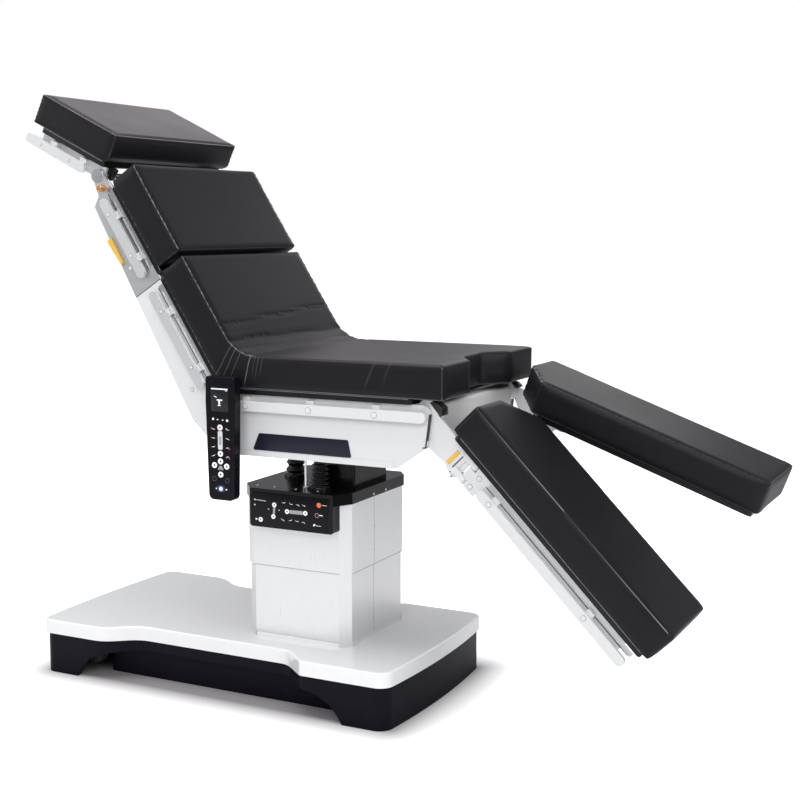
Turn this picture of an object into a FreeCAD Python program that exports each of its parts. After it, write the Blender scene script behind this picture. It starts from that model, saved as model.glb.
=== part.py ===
import FreeCAD
import Part
import math
import os

import Sketcher

# Operating table: a heavy base with lowered castors drawn up, a telescopic column with a tilting head,
# and a sectioned top of head, upper back, lower back, seat and two legs.
# +X runs along the top towards the leg end, +Y to the far side, +Z up; the origin is on the floor at the
# column's axis. Lengths are in millimetres and angles in degrees.

doc = FreeCAD.newDocument("OperatingTable")
sheet = doc.addObject("Spreadsheet::Sheet", "Sizes")


class Size:
    """A number that keeps its formula on the sheet, so that a feature can be bound to it."""

    def __init__(self, value, text):
        self.value = float(value)
        self.text = text

    def __add__(self, other):
        other = as_size(other)
        return Size(self.value + other.value, f"({self.text} + {other.text})")

    def __radd__(self, other):
        return as_size(other) + self

    def __sub__(self, other):
        other = as_size(other)
        return Size(self.value - other.value, f"({self.text} - {other.text})")

    def __rsub__(self, other):
        return as_size(other) - self

    def __mul__(self, other):
        other = as_size(other)
        return Size(self.value * other.value, f"({self.text} * {other.text})")

    def __rmul__(self, other):
        return as_size(other) * self

    def __truediv__(self, other):
        other = as_size(other)
        return Size(self.value / other.value, f"({self.text} / {other.text})")

    def __neg__(self):
        return Size(-self.value, f"(0 - {self.text})")


def as_size(number):
    if isinstance(number, Size):
        return number
    return Size(number, f"{float(number):.6f}")


rows_used = 0


def size(alias, number):
    """One driving dimension: a cell of the sheet with its alias."""
    global rows_used
    rows_used += 1
    cell = f"B{rows_used}"
    sheet.set(f"A{rows_used}", alias)
    sheet.set(cell, str(number))
    sheet.setAlias(cell, alias)
    return Size(number, f"Sizes.{alias}")


# Widths across the table, from the middle plane outwards
pad_half = size("pad_half", 275)
plate_outer = size("plate_outer", 256)
board_overhang = size("board_overhang", 9)
board_half = plate_outer + board_overhang
plate_wall = size("plate_wall", 8)
layer_gap = size("layer_gap", 1.5)
rail_outer = size("rail_outer", 274)
rail_wall = size("rail_wall", 10)
rail_height = size("rail_height", 25)
plate_inner = plate_outer - plate_wall
rail_inner = rail_outer - rail_wall
arm_outer = plate_inner - layer_gap
arm_inner = arm_outer - plate_wall

# Stack of pad, board and frame, from the top surface down
seat_top = size("seat_top", 874)
pad_thick = size("pad_thick", 80)
soft_gap = size("soft_gap", 0.4)
board_thick = size("board_thick", 14)
head_pad_thick = size("head_pad_thick", 78)
pad_bottom = seat_top - pad_thick
board_top = pad_bottom - soft_gap
frame_top = board_top - board_thick

# Hinge lines of the sections
back_hinge_x = size("back_hinge_x", -168)
back_hinge_depth = size("back_hinge_depth", 139)
back_angle = size("back_angle", 57.5)
back_fold_limit = size("back_fold_limit", 70)
leg_hinge_x = size("leg_hinge_x", 406)
leg_hinge_depth = size("leg_hinge_depth", 110)
near_leg_angle = size("near_leg_angle", 45.6)
far_leg_angle = size("far_leg_angle", 20.1)
head_hub_u = size("head_hub_u", 666)
head_hub_v = size("head_hub_v", 19)
head_angle = size("head_angle", 25.7)
back_hinge_z = seat_top - back_hinge_depth
leg_hinge_z = seat_top - leg_hinge_depth
hinge_pin_radius = size("hinge_pin_radius", 12)
running_gap = size("running_gap", 0.05)

# Seat section
seat_front_x = size("seat_front_x", 450)
seat_plate_front_x = size("seat_plate_front_x", 409)
seat_plate_height = size("seat_plate_height", 151)
seat_slant_x = size("seat_slant_x", 332)
seat_slant_rise = size("seat_slant_rise", 54)
seat_lip_height = size("seat_lip_height", 14)
seat_board_front_x = size("seat_board_front_x", 374)
notch_half = size("notch_half", 118)
notch_floor_half = size("notch_floor_half", 48)
notch_depth = size("notch_depth", 44)
hinge_disc_radius = size("hinge_disc_radius", 73)
disc_gap = size("disc_gap", 2)
seat_plate_bottom = frame_top - seat_plate_height

# Back sections, measured up the back from the hinge (u) and out of its plane (v)
lower_back_end = size("lower_back_end", 355)
upper_back_start = size("upper_back_start", 372)
upper_back_end = size("upper_back_end", 624)
part_line_u = size("part_line_u", 351)
back_plate_rear_low = size("back_plate_rear_low", 71)
back_plate_rear_mid = size("back_plate_rear_mid", 50)
back_plate_rear_high = size("back_plate_rear_high", 32)
back_plate_neck_u = size("back_plate_neck_u", 606)
back_frame_v = back_hinge_depth - pad_thick - soft_gap - board_thick
back_rail_v = size("back_rail_v", -5)

# Head section, measured from the hub
hub_radius = size("hub_radius", 18)
hub_tube_radius = size("hub_tube_radius", 8)
hub_stub_inner = size("hub_stub_inner", 160)
head_pad_start = size("head_pad_start", -22)
head_pad_end = size("head_pad_end", 234)
head_pad_top_v = size("head_pad_top_v", 119)
head_pad_half = size("head_pad_half", 266)
head_frame_end = size("head_frame_end", 205)
head_frame_v = head_pad_top_v - head_pad_thick - soft_gap - board_thick

# Leg sections, measured down the leg from the hinge
leg_pad_start = size("leg_pad_start", 74)
leg_pad_end = size("leg_pad_end", 728)
leg_inner = size("leg_inner", 6)
leg_chamfer_u = size("leg_chamfer_u", 76)
leg_chamfer_y = size("leg_chamfer_y", 130)
leg_board_inset = size("leg_board_inset", 15)
leg_bar_inner = size("leg_bar_inner", 150)
leg_frame_v = leg_hinge_depth - pad_thick - soft_gap - board_thick
leg_part_u = size("leg_part_u", 155)
spread_u = size("spread_u", 168)
spread_y = size("spread_y", 247)
knuckle_radius = size("knuckle_radius", 9)
leg_frame_end = size("leg_frame_end", 672)
leg_rail_end = size("leg_rail_end", 703)
leg_rail_v = size("leg_rail_v", -33)
leg_drum_radius = size("leg_drum_radius", 28)
leg_drum_inner = size("leg_drum_inner", 206)

# Base
base_half = size("base_half", 285)
base_recess_half = size("base_recess_half", 226)
base_head_x = size("base_head_x", -713)
base_head_bow = size("base_head_bow", 16)
base_leg_x = size("base_leg_x", 318)
base_leg_bow = size("base_leg_bow", 27)
base_top = size("base_top", 144)
base_plate_thick = size("base_plate_thick", 37)
skirt_inset = size("skirt_inset", 5)
skirt_wall = size("skirt_wall", 12)
arch_height = size("arch_height", 78)
tub_head_x = size("tub_head_x", -555)
tub_leg_x = size("tub_leg_x", 195)
tub_gap = size("tub_gap", 9)
tub_half = base_recess_half - skirt_inset - skirt_wall - tub_gap
tub_wall = size("tub_wall", 6)
tub_floor = size("tub_floor", 10)
plate_under = base_top - base_plate_thick

# Castors
castor_head_x = size("castor_head_x", -612)
castor_leg_x = size("castor_leg_x", 246)
castor_y = size("castor_y", 205)
wheel_radius = size("wheel_radius", 28)
wheel_width = size("wheel_width", 13.5)
wheel_lift = size("wheel_lift", 20)
castor_trail = size("castor_trail", 16)
kingpin_radius = size("kingpin_radius", 7)
axle_radius = size("axle_radius", 4)
beam_low = size("beam_low", 84)
beam_thick = size("beam_thick", 20)
beam_half_x = size("beam_half_x", 24)
guide_pin_y = size("guide_pin_y", 110)
guide_pin_radius = size("guide_pin_radius", 6)

# Column
shell_half_x = size("shell_half_x", 150)
shell_half_y = size("shell_half_y", 157)
shell_chamfer_x = size("shell_chamfer_x", 26)
shell_chamfer_y = size("shell_chamfer_y", 19)
shell_wall = size("shell_wall", 1.5)
shell_step = size("shell_step", 3)
sleeve_step = size("sleeve_step", 9)
shell_low_z = size("shell_low_z", 156)
shell_mid_z = size("shell_mid_z", 331)
lower_shell_top = size("lower_shell_top", 350)
sleeve_low_z = size("sleeve_low_z", 200)
cap_top = size("cap_top", 535)
cap_plate = size("cap_plate", 4)
cap_rim = size("cap_rim", 28)
cap_wall = size("cap_wall", 3)
console_front = size("console_front", 191)
console_low_z = size("console_low_z", 438)
console_left = size("console_left", -112)
console_right = size("console_right", 126)
far_brow_y = size("far_brow_y", 178)
bracket_height = size("bracket_height", 15)
cap_ceiling = cap_top - cap_plate
mast_half_x = size("mast_half_x", 65)
mast_half_y = size("mast_half_y", 80)
mast_wall = size("mast_wall", 8)
mast_gap = size("mast_gap", 0.3)
mast_low_z = size("mast_low_z", 190)
fixed_mast_top = size("fixed_mast_top", 328)
lift_barrel_radius = size("lift_barrel_radius", 30)
lift_bore_radius = size("lift_bore_radius", 25)
lift_rod_radius = size("lift_rod_radius", 18)
lift_barrel_top = size("lift_barrel_top", 318)
gland_thick = size("gland_thick", 18)
piston_low_z = size("piston_low_z", 192)

# Tilting head on the column
pivot_x = size("pivot_x", 75)
pivot_z = size("pivot_z", 640)
trunnion_radius = size("trunnion_radius", 10)
lug_radius = size("lug_radius", 16)
post_lug_near = size("post_lug_near", 30)
post_lug_wall = size("post_lug_wall", 14)
saddle_lug_near = size("saddle_lug_near", 62)
saddle_lug_wall = size("saddle_lug_wall", 16)
saddle_low = size("saddle_low", 46)
saddle_thick = size("saddle_thick", 13.5)
saddle_half_x = size("saddle_half_x", 120)
saddle_half_y = size("saddle_half_y", 155)
pitch_rod_x = size("pitch_rod_x", -92)
roll_rod_x = size("roll_rod_x", 50)
roll_rod_y = size("roll_rod_y", -120)
tilt_rod_radius = size("tilt_rod_radius", 12)
tilt_barrel_radius = size("tilt_barrel_radius", 22)
rod_clearance = size("rod_clearance", 4)
bellows_radius = size("bellows_radius", 26)
bellows_top_radius = size("bellows_top_radius", 19)
saddle_top = pivot_z + saddle_low + saddle_thick

# Slide beams of the top
beam_gap = size("beam_gap", 0.5)
slide_beam_mid = size("slide_beam_mid", 120)
slide_beam_half = size("slide_beam_half", 20)
slide_beam_height = size("slide_beam_height", 45)
slide_flange = size("slide_flange", 5)
slide_flange_thick = size("slide_flange_thick", 6)
slide_low = saddle_top + beam_gap

# Handset
handset_x = size("handset_x", -108)
handset_half = size("handset_half", 42)
handset_low_z = size("handset_low_z", 526)
handset_top_z = size("handset_top_z", 826)
handset_thick = size("handset_thick", 26)
handset_reach = size("handset_reach", 21)
handset_front_y = pad_half + handset_reach + handset_thick

PLANE_OF = {"x": "YZ_Plane", "y": "XZ_Plane", "z": "XY_Plane"}


class Frame:
    """Where a section's own frame lies: a point in the XZ plane and a turn about Y."""

    def __init__(self, x, z, angle, sense):
        self.x = x
        self.z = z
        self.angle = angle
        self.sense = sense

    def point(self, u, v):
        """A point of the section's frame in the table's frame, as plain numbers."""
        turn = math.radians(self.angle.value)
        side = self.sense * as_size(u).value
        up = as_size(v).value
        x = self.x.value + side * math.cos(turn) + up * math.sin(turn)
        z = self.z.value - side * math.sin(turn) + up * math.cos(turn)
        return x, z


def bind(target, name, amount):
    """Sets a property and binds it to the sheet where the amount has a formula."""
    amount = as_size(amount)
    holder = target
    parts = name.split(".")
    if len(parts) == 1:
        setattr(holder, name, amount.value)
    if "Sizes." in amount.text:
        target.setExpression(name, amount.text)


class Piece:
    """One PartDesign body, built from prisms along an axis with cuts, rounds and bores."""

    def __init__(self, label, frame=None):
        self.body = doc.addObject("PartDesign::Body", "Body_" + label)
        self.body.Label = label
        self.frame = frame
        self.count = 0
        if frame is not None:
            turn = FreeCAD.Rotation(FreeCAD.Vector(0, 1, 0), frame.angle.value)
            spot = FreeCAD.Vector(frame.x.value, 0, frame.z.value)
            self.body.Placement = FreeCAD.Placement(spot, turn)
            self.body.setExpression("Placement.Base.x", frame.x.text)
            self.body.setExpression("Placement.Base.z", frame.z.text)
            self.body.setExpression("Placement.Rotation.Angle", frame.angle.text)

    def sketch(self, axis, offset):
        self.count += 1
        name = f"{self.body.Name}_outline{self.count}"
        sketch = self.body.newObject("Sketcher::SketchObject", name)
        planes = [item for item in self.body.Origin.OriginFeatures if item.Role == PLANE_OF[axis]]
        sketch.AttachmentSupport = (planes[0], [""])
        sketch.MapMode = "FlatFace"
        offset = as_size(offset)
        if axis == "y":
            offset = -offset
        sketch.AttachmentOffset = FreeCAD.Placement(FreeCAD.Vector(0, 0, offset.value), FreeCAD.Rotation())
        if "Sizes." in offset.text:
            sketch.setExpression("AttachmentOffset.Base.z", offset.text)
        return sketch

    def pin_point(self, sketch, element, place, spot):
        """Holds a point of the sketch at its distances from the origin."""
        for kind, amount in (("DistanceX", as_size(spot[0])), ("DistanceY", as_size(spot[1]))):
            row = sketch.addConstraint(Sketcher.Constraint(kind, -1, 1, element, place, amount.value))
            if "Sizes." in amount.text:
                sketch.setExpression(f"Constraints[{row}]", amount.text)

    def outline(self, sketch, points):
        spots = [FreeCAD.Vector(as_size(a).value, as_size(b).value, 0) for a, b in points]
        for index, spot in enumerate(spots):
            sketch.addGeometry(Part.LineSegment(spot, spots[(index + 1) % len(spots)]))
        for index in range(len(spots)):
            sketch.addConstraint(Sketcher.Constraint("Coincident", index, 2, (index + 1) % len(spots), 1))
        for index, point in enumerate(points):
            self.pin_point(sketch, index, 1, point)

    def circle(self, sketch, centre, radius):
        spot = FreeCAD.Vector(as_size(centre[0]).value, as_size(centre[1]).value, 0)
        radius = as_size(radius)
        sketch.addGeometry(Part.Circle(spot, FreeCAD.Vector(0, 0, 1), radius.value))
        self.pin_point(sketch, 0, 3, centre)
        row = sketch.addConstraint(Sketcher.Constraint("Radius", 0, radius.value))
        if "Sizes." in radius.text:
            sketch.setExpression(f"Constraints[{row}]", radius.text)

    def prism(self, kind, axis, low, length, draw):
        low = as_size(low)
        length = as_size(length)
        far_side = low + length
        if kind == "PartDesign::Pad":
            start = far_side if axis == "y" else low
        else:
            start = low if axis == "y" else far_side
        sketch = self.sketch(axis, start)
        draw(sketch)
        feature = self.body.newObject(kind, f"{self.body.Name}_step{self.count}")
        feature.Profile = sketch
        sketch.Visibility = False
        bind(feature, "Length", length)
        doc.recompute([self.body, sketch, feature])
        return feature

    def add(self, axis, low, length, points):
        self.prism("PartDesign::Pad", axis, low, length, lambda sk: self.outline(sk, points))
        return self

    def cut(self, axis, low, length, points):
        self.prism("PartDesign::Pocket", axis, low, length, lambda sk: self.outline(sk, points))
        return self

    def add_round(self, axis, low, length, centre, radius):
        self.prism("PartDesign::Pad", axis, low, length, lambda sk: self.circle(sk, centre, radius))
        return self

    def bore(self, axis, low, length, centre, radius):
        self.prism("PartDesign::Pocket", axis, low, length, lambda sk: self.circle(sk, centre, radius))
        return self

    def turned(self, axis, points, centre=(0, 0)):
        """A solid of revolution about a line along Z through the centre: points are radius and height."""
        shifted = [(as_size(centre[0]) + a, b) for a, b in points]
        sketch = self.sketch(axis, centre[1])
        self.outline(sketch, shifted)
        last = sketch.GeometryCount
        middle = as_size(centre[0])
        low = min(as_size(b).value for a, b in points)
        high = max(as_size(b).value for a, b in points)
        line = Part.LineSegment(FreeCAD.Vector(middle.value, low, 0), FreeCAD.Vector(middle.value, high, 0))
        sketch.addGeometry(line, True)
        self.pin_point(sketch, last, 1, (middle, low))
        self.pin_point(sketch, last, 2, (middle, high))
        feature = self.body.newObject("PartDesign::Revolution", f"{self.body.Name}_turn{self.count}")
        feature.Profile = sketch
        feature.ReferenceAxis = (sketch, ["Axis0"])
        feature.Angle = 360
        sketch.Visibility = False
        doc.recompute([self.body, sketch, feature])
        return self

    def dress(self, kind, amount, wanted):
        """A fillet or a chamfer on the edges that the test picks."""
        base = self.body.Tip
        names = [f"Edge{row + 1}" for row, edge in enumerate(base.Shape.Edges) if wanted(edge)]
        if not names:
            raise ValueError(f"no edge found on {self.body.Label}")
        self.count += 1
        feature = self.body.newObject(kind, f"{self.body.Name}_edge{self.count}")
        feature.Base = (base, names)
        bind(feature, "Radius" if kind.endswith("Fillet") else "Size", amount)
        doc.recompute([self.body, feature])
        return self

    def round(self, amount, wanted):
        return self.dress("PartDesign::Fillet", amount, wanted)

    def bevel(self, amount, wanted):
        return self.dress("PartDesign::Chamfer", amount, wanted)


def corners(axis, spots, slack=0.6):
    """Picks the straight edges that run along an axis through the given points of its plane."""
    keep = {"x": (1, 2), "y": (0, 2), "z": (0, 1)}[axis]
    places = [(as_size(a).value, as_size(b).value) for a, b in spots]

    def wanted(edge):
        if len(edge.Vertexes) != 2:
            return False
        first = edge.Vertexes[0].Point
        second = edge.Vertexes[1].Point
        if abs(first[keep[0]] - second[keep[0]]) > slack or abs(first[keep[1]] - second[keep[1]]) > slack:
            return False
        return any(abs(first[keep[0]] - a) < slack and abs(first[keep[1]] - b) < slack for a, b in places)

    return wanted


def at_level(axis, level, slack=0.01):
    """Picks the edges that lie wholly in a plane across an axis."""
    row = "xyz".index(axis)
    level = as_size(level).value

    def wanted(edge):
        box = edge.BoundBox
        low = (box.XMin, box.YMin, box.ZMin)[row]
        high = (box.XMax, box.YMax, box.ZMax)[row]
        return abs(low - level) < slack and abs(high - level) < slack

    return wanted


def box_outline(low_a, low_b, high_a, high_b):
    return [(low_a, low_b), (high_a, low_b), (high_a, high_b), (low_a, high_b)]



kept = []


def keep(label, pieces):
    """Hands in one node: a single piece, or a group of separate solids."""
    if len(pieces) == 1 and pieces[0].Label == label:
        kept.append(pieces[0])
        return pieces[0]
    group = doc.addObject("Part::Compound", "Group_" + label)
    group.Links = pieces
    for number, piece in enumerate(pieces):
        if piece.Label == label:
            piece.Label = f"{label}_solid{number + 1}"
    group.Label = label
    kept.append(group)
    return group


def mirrored(piece):
    """The same piece on the far side of the middle plane."""
    twin = doc.addObject("Part::Mirroring", piece.Name + "_far")
    twin.Source = piece
    twin.Base = FreeCAD.Vector(0, 0, 0)
    twin.Normal = FreeCAD.Vector(0, 1, 0)
    return twin


def pair(label, piece):
    keep(label, [piece.body, mirrored(piece.body)])


def across(side, inner, outer):
    """Low end and length of a span on the near (-1) or far (+1) side of the middle plane."""
    inner = as_size(inner)
    outer = as_size(outer)
    return (-outer if side < 0 else inner), outer - inner


def eight_sided(half_x, half_y):
    """The column's plan: a rectangle with its corners cut off."""
    inner_x = half_x - shell_chamfer_x
    inner_y = half_y - shell_chamfer_y
    return [
        (-inner_x, -half_y),
        (inner_x, -half_y),
        (half_x, -inner_y),
        (half_x, inner_y),
        (inner_x, half_y),
        (-inner_x, half_y),
        (-half_x, inner_y),
        (-half_x, -inner_y),
    ]


back_frame = Frame(back_hinge_x, back_hinge_z, back_angle, -1)
hub_x, hub_z = back_frame.point(head_hub_u, head_hub_v)
back_cos = f"cos({back_angle.text} * 1 deg)"
back_sin = f"sin({back_angle.text} * 1 deg)"
hub_x = Size(hub_x, f"({back_hinge_x.text} - {head_hub_u.text} * {back_cos} + {head_hub_v.text} * {back_sin})")
hub_z = Size(hub_z, f"({back_hinge_z.text} + {head_hub_u.text} * {back_sin} + {head_hub_v.text} * {back_cos})")
head_frame = Frame(hub_x, hub_z, head_angle, -1)
near_leg = Frame(leg_hinge_x, leg_hinge_z, near_leg_angle, 1)
far_leg = Frame(leg_hinge_x, leg_hinge_z, far_leg_angle, 1)


# Base

def base_plan(inset):
    """Outline of the base, narrowed in the middle of both long sides, with bowed ends."""
    half = base_half - inset
    recess = base_recess_half - inset
    head = base_head_x + inset
    leg = base_leg_x - inset
    near = [
        (head, -half),
        (as_size(-512), -half),
        (as_size(-436), -recess),
        (as_size(14), -recess),
        (as_size(84), -half),
        (leg, -half),
    ]
    far = [(x, -y) for x, y in reversed(near)]
    return near + [(leg + base_leg_bow, as_size(0))] + far + [(head - base_head_bow, as_size(0))]


def round_base(piece, inset, slack):
    """Rounds the base's corners, its two S-bends on each side and its bowed ends."""
    plan = base_plan(inset)
    near = plan[0:6]
    both = {}
    for name, spot in zip(("head", "s_out", "s_in", "step_in", "step_out", "leg"), near):
        both[name] = [spot, (spot[0], -spot[1])]
    piece.round(28, corners("z", both["head"], slack))
    piece.round(90, corners("z", both["s_out"] + both["s_in"], slack))
    piece.round(60, corners("z", both["step_in"], slack))
    piece.round(14, corners("z", both["step_out"], slack))
    piece.round(36, corners("z", both["leg"], slack))
    piece.round(2300, corners("z", [plan[6]], slack))
    piece.round(3800, corners("z", [plan[13]], slack))


sleeve_hole_x = shell_half_x - sleeve_step + 3
sleeve_hole_y = shell_half_y - sleeve_step + 3

plate = Piece("base_top_plate")
plate.add("z", plate_under, base_plate_thick, base_plan(0))
round_base(plate, as_size(0), 0.6)
plate.round(5, at_level("z", base_top))
plinth_height = shell_low_z - base_top - 1
plate.add("z", base_top, plinth_height, eight_sided(shell_half_x - 4, shell_half_y - 4))
plate.cut("z", plate_under, base_plate_thick + plinth_height, eight_sided(sleeve_hole_x, sleeve_hole_y))
keep("base_top_plate", [plate.body])

skirt = Piece("base_skirt")
skirt.add("z", 0, plate_under, base_plan(skirt_inset))
round_base(skirt, skirt_inset, 0.6)
skirt.cut("z", 0, plate_under, base_plan(skirt_inset + skirt_wall))
arch = [
    (-603, 0),
    (-584, 32),
    (-566, 50),
    (-540, 64),
    (-500, 74),
    (-460, arch_height),
    (30, arch_height),
    (84, 74),
    (130, 63),
    (162, 45),
    (184, 21),
    (197, 0),
]
skirt.cut("y", -base_half, base_half * 2, arch)
keep("base_skirt", [skirt.body])

tub = Piece("chassis_tub")
tub.add("z", 0, plate_under, box_outline(tub_head_x, -tub_half, tub_leg_x, tub_half))
tub.round(12, corners("z", box_outline(tub_head_x, -tub_half, tub_leg_x, tub_half)))
tub.cut(
    "z",
    tub_floor,
    plate_under - tub_floor,
    box_outline(tub_head_x + tub_wall, -tub_half + tub_wall, tub_leg_x - tub_wall, tub_half - tub_wall),
)
for side in (-1, 1):
    ear = guide_pin_y + 14
    ear_low, ear_length = across(side, guide_pin_y - 14, ear)
    tub.add("z", 12, 8, box_outline(castor_head_x - 16, ear_low, tub_head_x + 1, ear_low + ear_length))
    tub.add("z", 12, 8, box_outline(tub_leg_x - 1, ear_low, castor_leg_x + 16, ear_low + ear_length))
    for pin_x in (castor_head_x, castor_leg_x):
        tub.add_round("z", 20, plate_under - 20, (pin_x, side * guide_pin_y), guide_pin_radius)
keep("chassis_tub", [tub.body])

mast = Piece("fixed_mast")
fixed_half_x = mast_half_x - mast_wall - mast_gap
fixed_half_y = mast_half_y - mast_wall - mast_gap
mast_height = fixed_mast_top - tub_floor
mast_bore_x = fixed_half_x - mast_wall
mast_bore_y = fixed_half_y - mast_wall
mast.add("z", tub_floor, mast_height, box_outline(-fixed_half_x, -fixed_half_y, fixed_half_x, fixed_half_y))
mast.cut("z", tub_floor, mast_height, box_outline(-mast_bore_x, -mast_bore_y, mast_bore_x, mast_bore_y))
keep("fixed_mast", [mast.body])

barrel = Piece("lift_cylinder_barrel")
barrel.add_round("z", tub_floor, lift_barrel_top - tub_floor, (0, 0), lift_barrel_radius)
barrel.bore("z", tub_floor + 10, lift_barrel_top - gland_thick - tub_floor - 10, (0, 0), lift_bore_radius)
barrel.bore("z", lift_barrel_top - gland_thick, gland_thick, (0, 0), lift_rod_radius + running_gap)
keep("lift_cylinder_barrel", [barrel.body])

tank = Piece("pump_tank")
tank.add("z", tub_floor, 82, box_outline(-480, -80, -320, 60))
tank.round(8, corners("z", box_outline(-480, -80, -320, 60)))
motor = Piece("pump_motor")
motor.add_round("x", -320, 100, (-10, 52), 36)
motor.add("z", tub_floor, 12, box_outline(-300, -40, -240, 20))
keep("pump_unit", [tank.body, motor.body])

battery = Piece("battery_pack")
battery.add("z", tub_floor, 84, box_outline(-212, -95, -156, 95))
battery.round(4, corners("z", box_outline(-212, -95, -156, 95)))
keep("battery_pack", [battery.body])

lower = Piece("column_lower_shell")
lower_half_x = shell_half_x - shell_step
lower_half_y = shell_half_y - shell_step
lower_height = lower_shell_top - shell_low_z
lower.add("z", shell_low_z, lower_height, eight_sided(lower_half_x, lower_half_y))
lower.cut("z", shell_low_z, lower_height, eight_sided(lower_half_x - shell_wall, lower_half_y - shell_wall))
for corner_x in (-1, 1):
    for corner_y in (-1, 1):
        foot_x = corner_x * (lower_half_x - shell_chamfer_x)
        foot_y = corner_y * (lower_half_y - shell_chamfer_y)
        foot = [
            (foot_x, corner_y * (lower_half_y + 2)),
            (corner_x * (lower_half_x + 2), foot_y),
            (corner_x * (lower_half_x - 0.5), foot_y),
            (foot_x, corner_y * (lower_half_y - 0.5)),
        ]
        lower.add("z", base_top, bracket_height, foot)
keep("column_lower_shell", [lower.body])


# Castors

beam_pieces = []
for end, beam_x in (("head", castor_head_x), ("leg", castor_leg_x)):
    beam = Piece("castor_beam_" + end)
    beam.add("z", beam_low, beam_thick, box_outline(beam_x - beam_half_x, -228, beam_x + beam_half_x, 228))
    beam.round(10, corners("z", box_outline(beam_x - beam_half_x, -228, beam_x + beam_half_x, 228)))
    for side in (-1, 1):
        beam.bore("z", beam_low, beam_thick, (beam_x, side * guide_pin_y), guide_pin_radius + running_gap)
        beam.bore("z", beam_low, beam_thick, (beam_x, side * castor_y), kingpin_radius + running_gap)
    beam_pieces.append(beam.body)
keep("castor_beams", beam_pieces)

web_half = size("web_half", 3)
wheel_gap = size("wheel_gap", 0.3)
wheel_z = wheel_lift + wheel_radius
for end, beam_x in (("head", castor_head_x), ("leg", castor_leg_x)):
    for hand, side in (("near", -1), ("far", 1)):
        label = f"{end}_{hand}"
        middle = side * castor_y
        axle_x = beam_x + castor_trail
        fork = Piece("castor_fork_" + label)
        web = [
            (axle_x - 9, wheel_z - 6),
            (axle_x + 9, wheel_z - 6),
            (axle_x + 9, wheel_z + 12),
            (beam_x + 12, beam_low - 6),
            (beam_x - 12, beam_low - 6),
        ]
        fork.add("y", middle - web_half, web_half * 2, web)
        fork.add_round("z", beam_low - 6, 6 - wheel_gap, (beam_x, middle), 15)
        fork.add_round("z", beam_low - 6, beam_thick + 6, (beam_x, middle), kingpin_radius)
        reach = web_half + wheel_gap + wheel_width
        fork.add_round("y", middle - reach, reach * 2, (axle_x, wheel_z), axle_radius)
        keep("castor_fork_" + label, [fork.body])
        wheels = []
        for flank in (-1, 1):
            wheel = Piece(f"castor_wheel_{label}_{flank + 2}")
            inner = web_half + wheel_gap
            low = middle + inner if flank > 0 else middle - inner - wheel_width
            wheel.add_round("y", low, wheel_width, (axle_x, wheel_z), wheel_radius)
            wheel.round(4, at_level("y", low + wheel_width if flank > 0 else low))
            wheel.bore("y", low, wheel_width, (axle_x, wheel_z), axle_radius + running_gap)
            wheels.append(wheel.body)
        keep("castor_wheels_" + label, wheels)


# Lifting head of the column

moving = Piece("moving_mast")
moving_height = cap_ceiling - mast_low_z
moving_box = box_outline(-mast_half_x, -mast_half_y, mast_half_x, mast_half_y)
hollow_x = mast_half_x - mast_wall
hollow_y = mast_half_y - mast_wall
moving.add("z", mast_low_z, moving_height, moving_box)
moving.round(6, corners("z", moving_box))
moving.cut("z", mast_low_z, moving_height, box_outline(-hollow_x, -hollow_y, hollow_x, hollow_y))
keep("moving_mast", [moving.body])

rod = Piece("lift_piston_rod")
rod.add_round("z", piston_low_z, cap_ceiling - piston_low_z, (0, 0), lift_rod_radius)
rod.add_round("z", piston_low_z, 20, (0, 0), lift_bore_radius - running_gap)
keep("lift_piston_rod", [rod.body])

sleeve = Piece("column_inner_sleeve")
sleeve_x = shell_half_x - sleeve_step
sleeve_y = shell_half_y - sleeve_step
sleeve_height = cap_ceiling - sleeve_low_z
sleeve.add("z", sleeve_low_z, sleeve_height, eight_sided(sleeve_x, sleeve_y))
sleeve.cut("z", sleeve_low_z, sleeve_height, eight_sided(sleeve_x - shell_wall, sleeve_y - shell_wall))
keep("column_inner_sleeve", [sleeve.body])

upper = Piece("column_upper_shell")
upper_height = cap_ceiling - shell_mid_z
upper.add("z", shell_mid_z, upper_height, eight_sided(shell_half_x, shell_half_y))
upper.cut("z", shell_mid_z, upper_height, eight_sided(shell_half_x - shell_wall, shell_half_y - shell_wall))
keep("column_upper_shell", [upper.body])

cap = Piece("column_cap")
cap_low = cap_top - cap_rim
cap_half_x = shell_half_x + cap_wall
cap_half_y = shell_half_y + cap_wall
cap.add("z", cap_low, cap_rim, eight_sided(cap_half_x, cap_half_y))
brow = [
    (-cap_half_x, -(cap_half_y - shell_chamfer_y)),
    (console_left, -console_front),
    (console_right, -console_front),
    (cap_half_x, -(cap_half_y - shell_chamfer_y)),
]
cap.add("z", cap_low, cap_rim, brow)
far_brow = [
    (cap_half_x, cap_half_y - shell_chamfer_y),
    (console_right, far_brow_y),
    (console_left, far_brow_y),
    (-cap_half_x, cap_half_y - shell_chamfer_y),
]
cap.add("z", cap_low, cap_rim, far_brow)
cap.add(
    "y",
    -console_front,
    console_front - shell_half_y,
    box_outline(console_left, console_low_z, console_right, cap_top - 1),
)
cap.cut("z", cap_low, cap_rim - cap_plate, eight_sided(shell_half_x, shell_half_y))
cap.round(8, corners("y", [(console_left, console_low_z), (console_right, console_low_z)]))
cap.bore("z", cap_ceiling, cap_plate, (pitch_rod_x, 0), tilt_rod_radius + running_gap)
cap.bore("z", cap_ceiling, cap_plate, (roll_rod_x, roll_rod_y), tilt_rod_radius + running_gap)
keep("column_cap", [cap.body])

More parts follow.
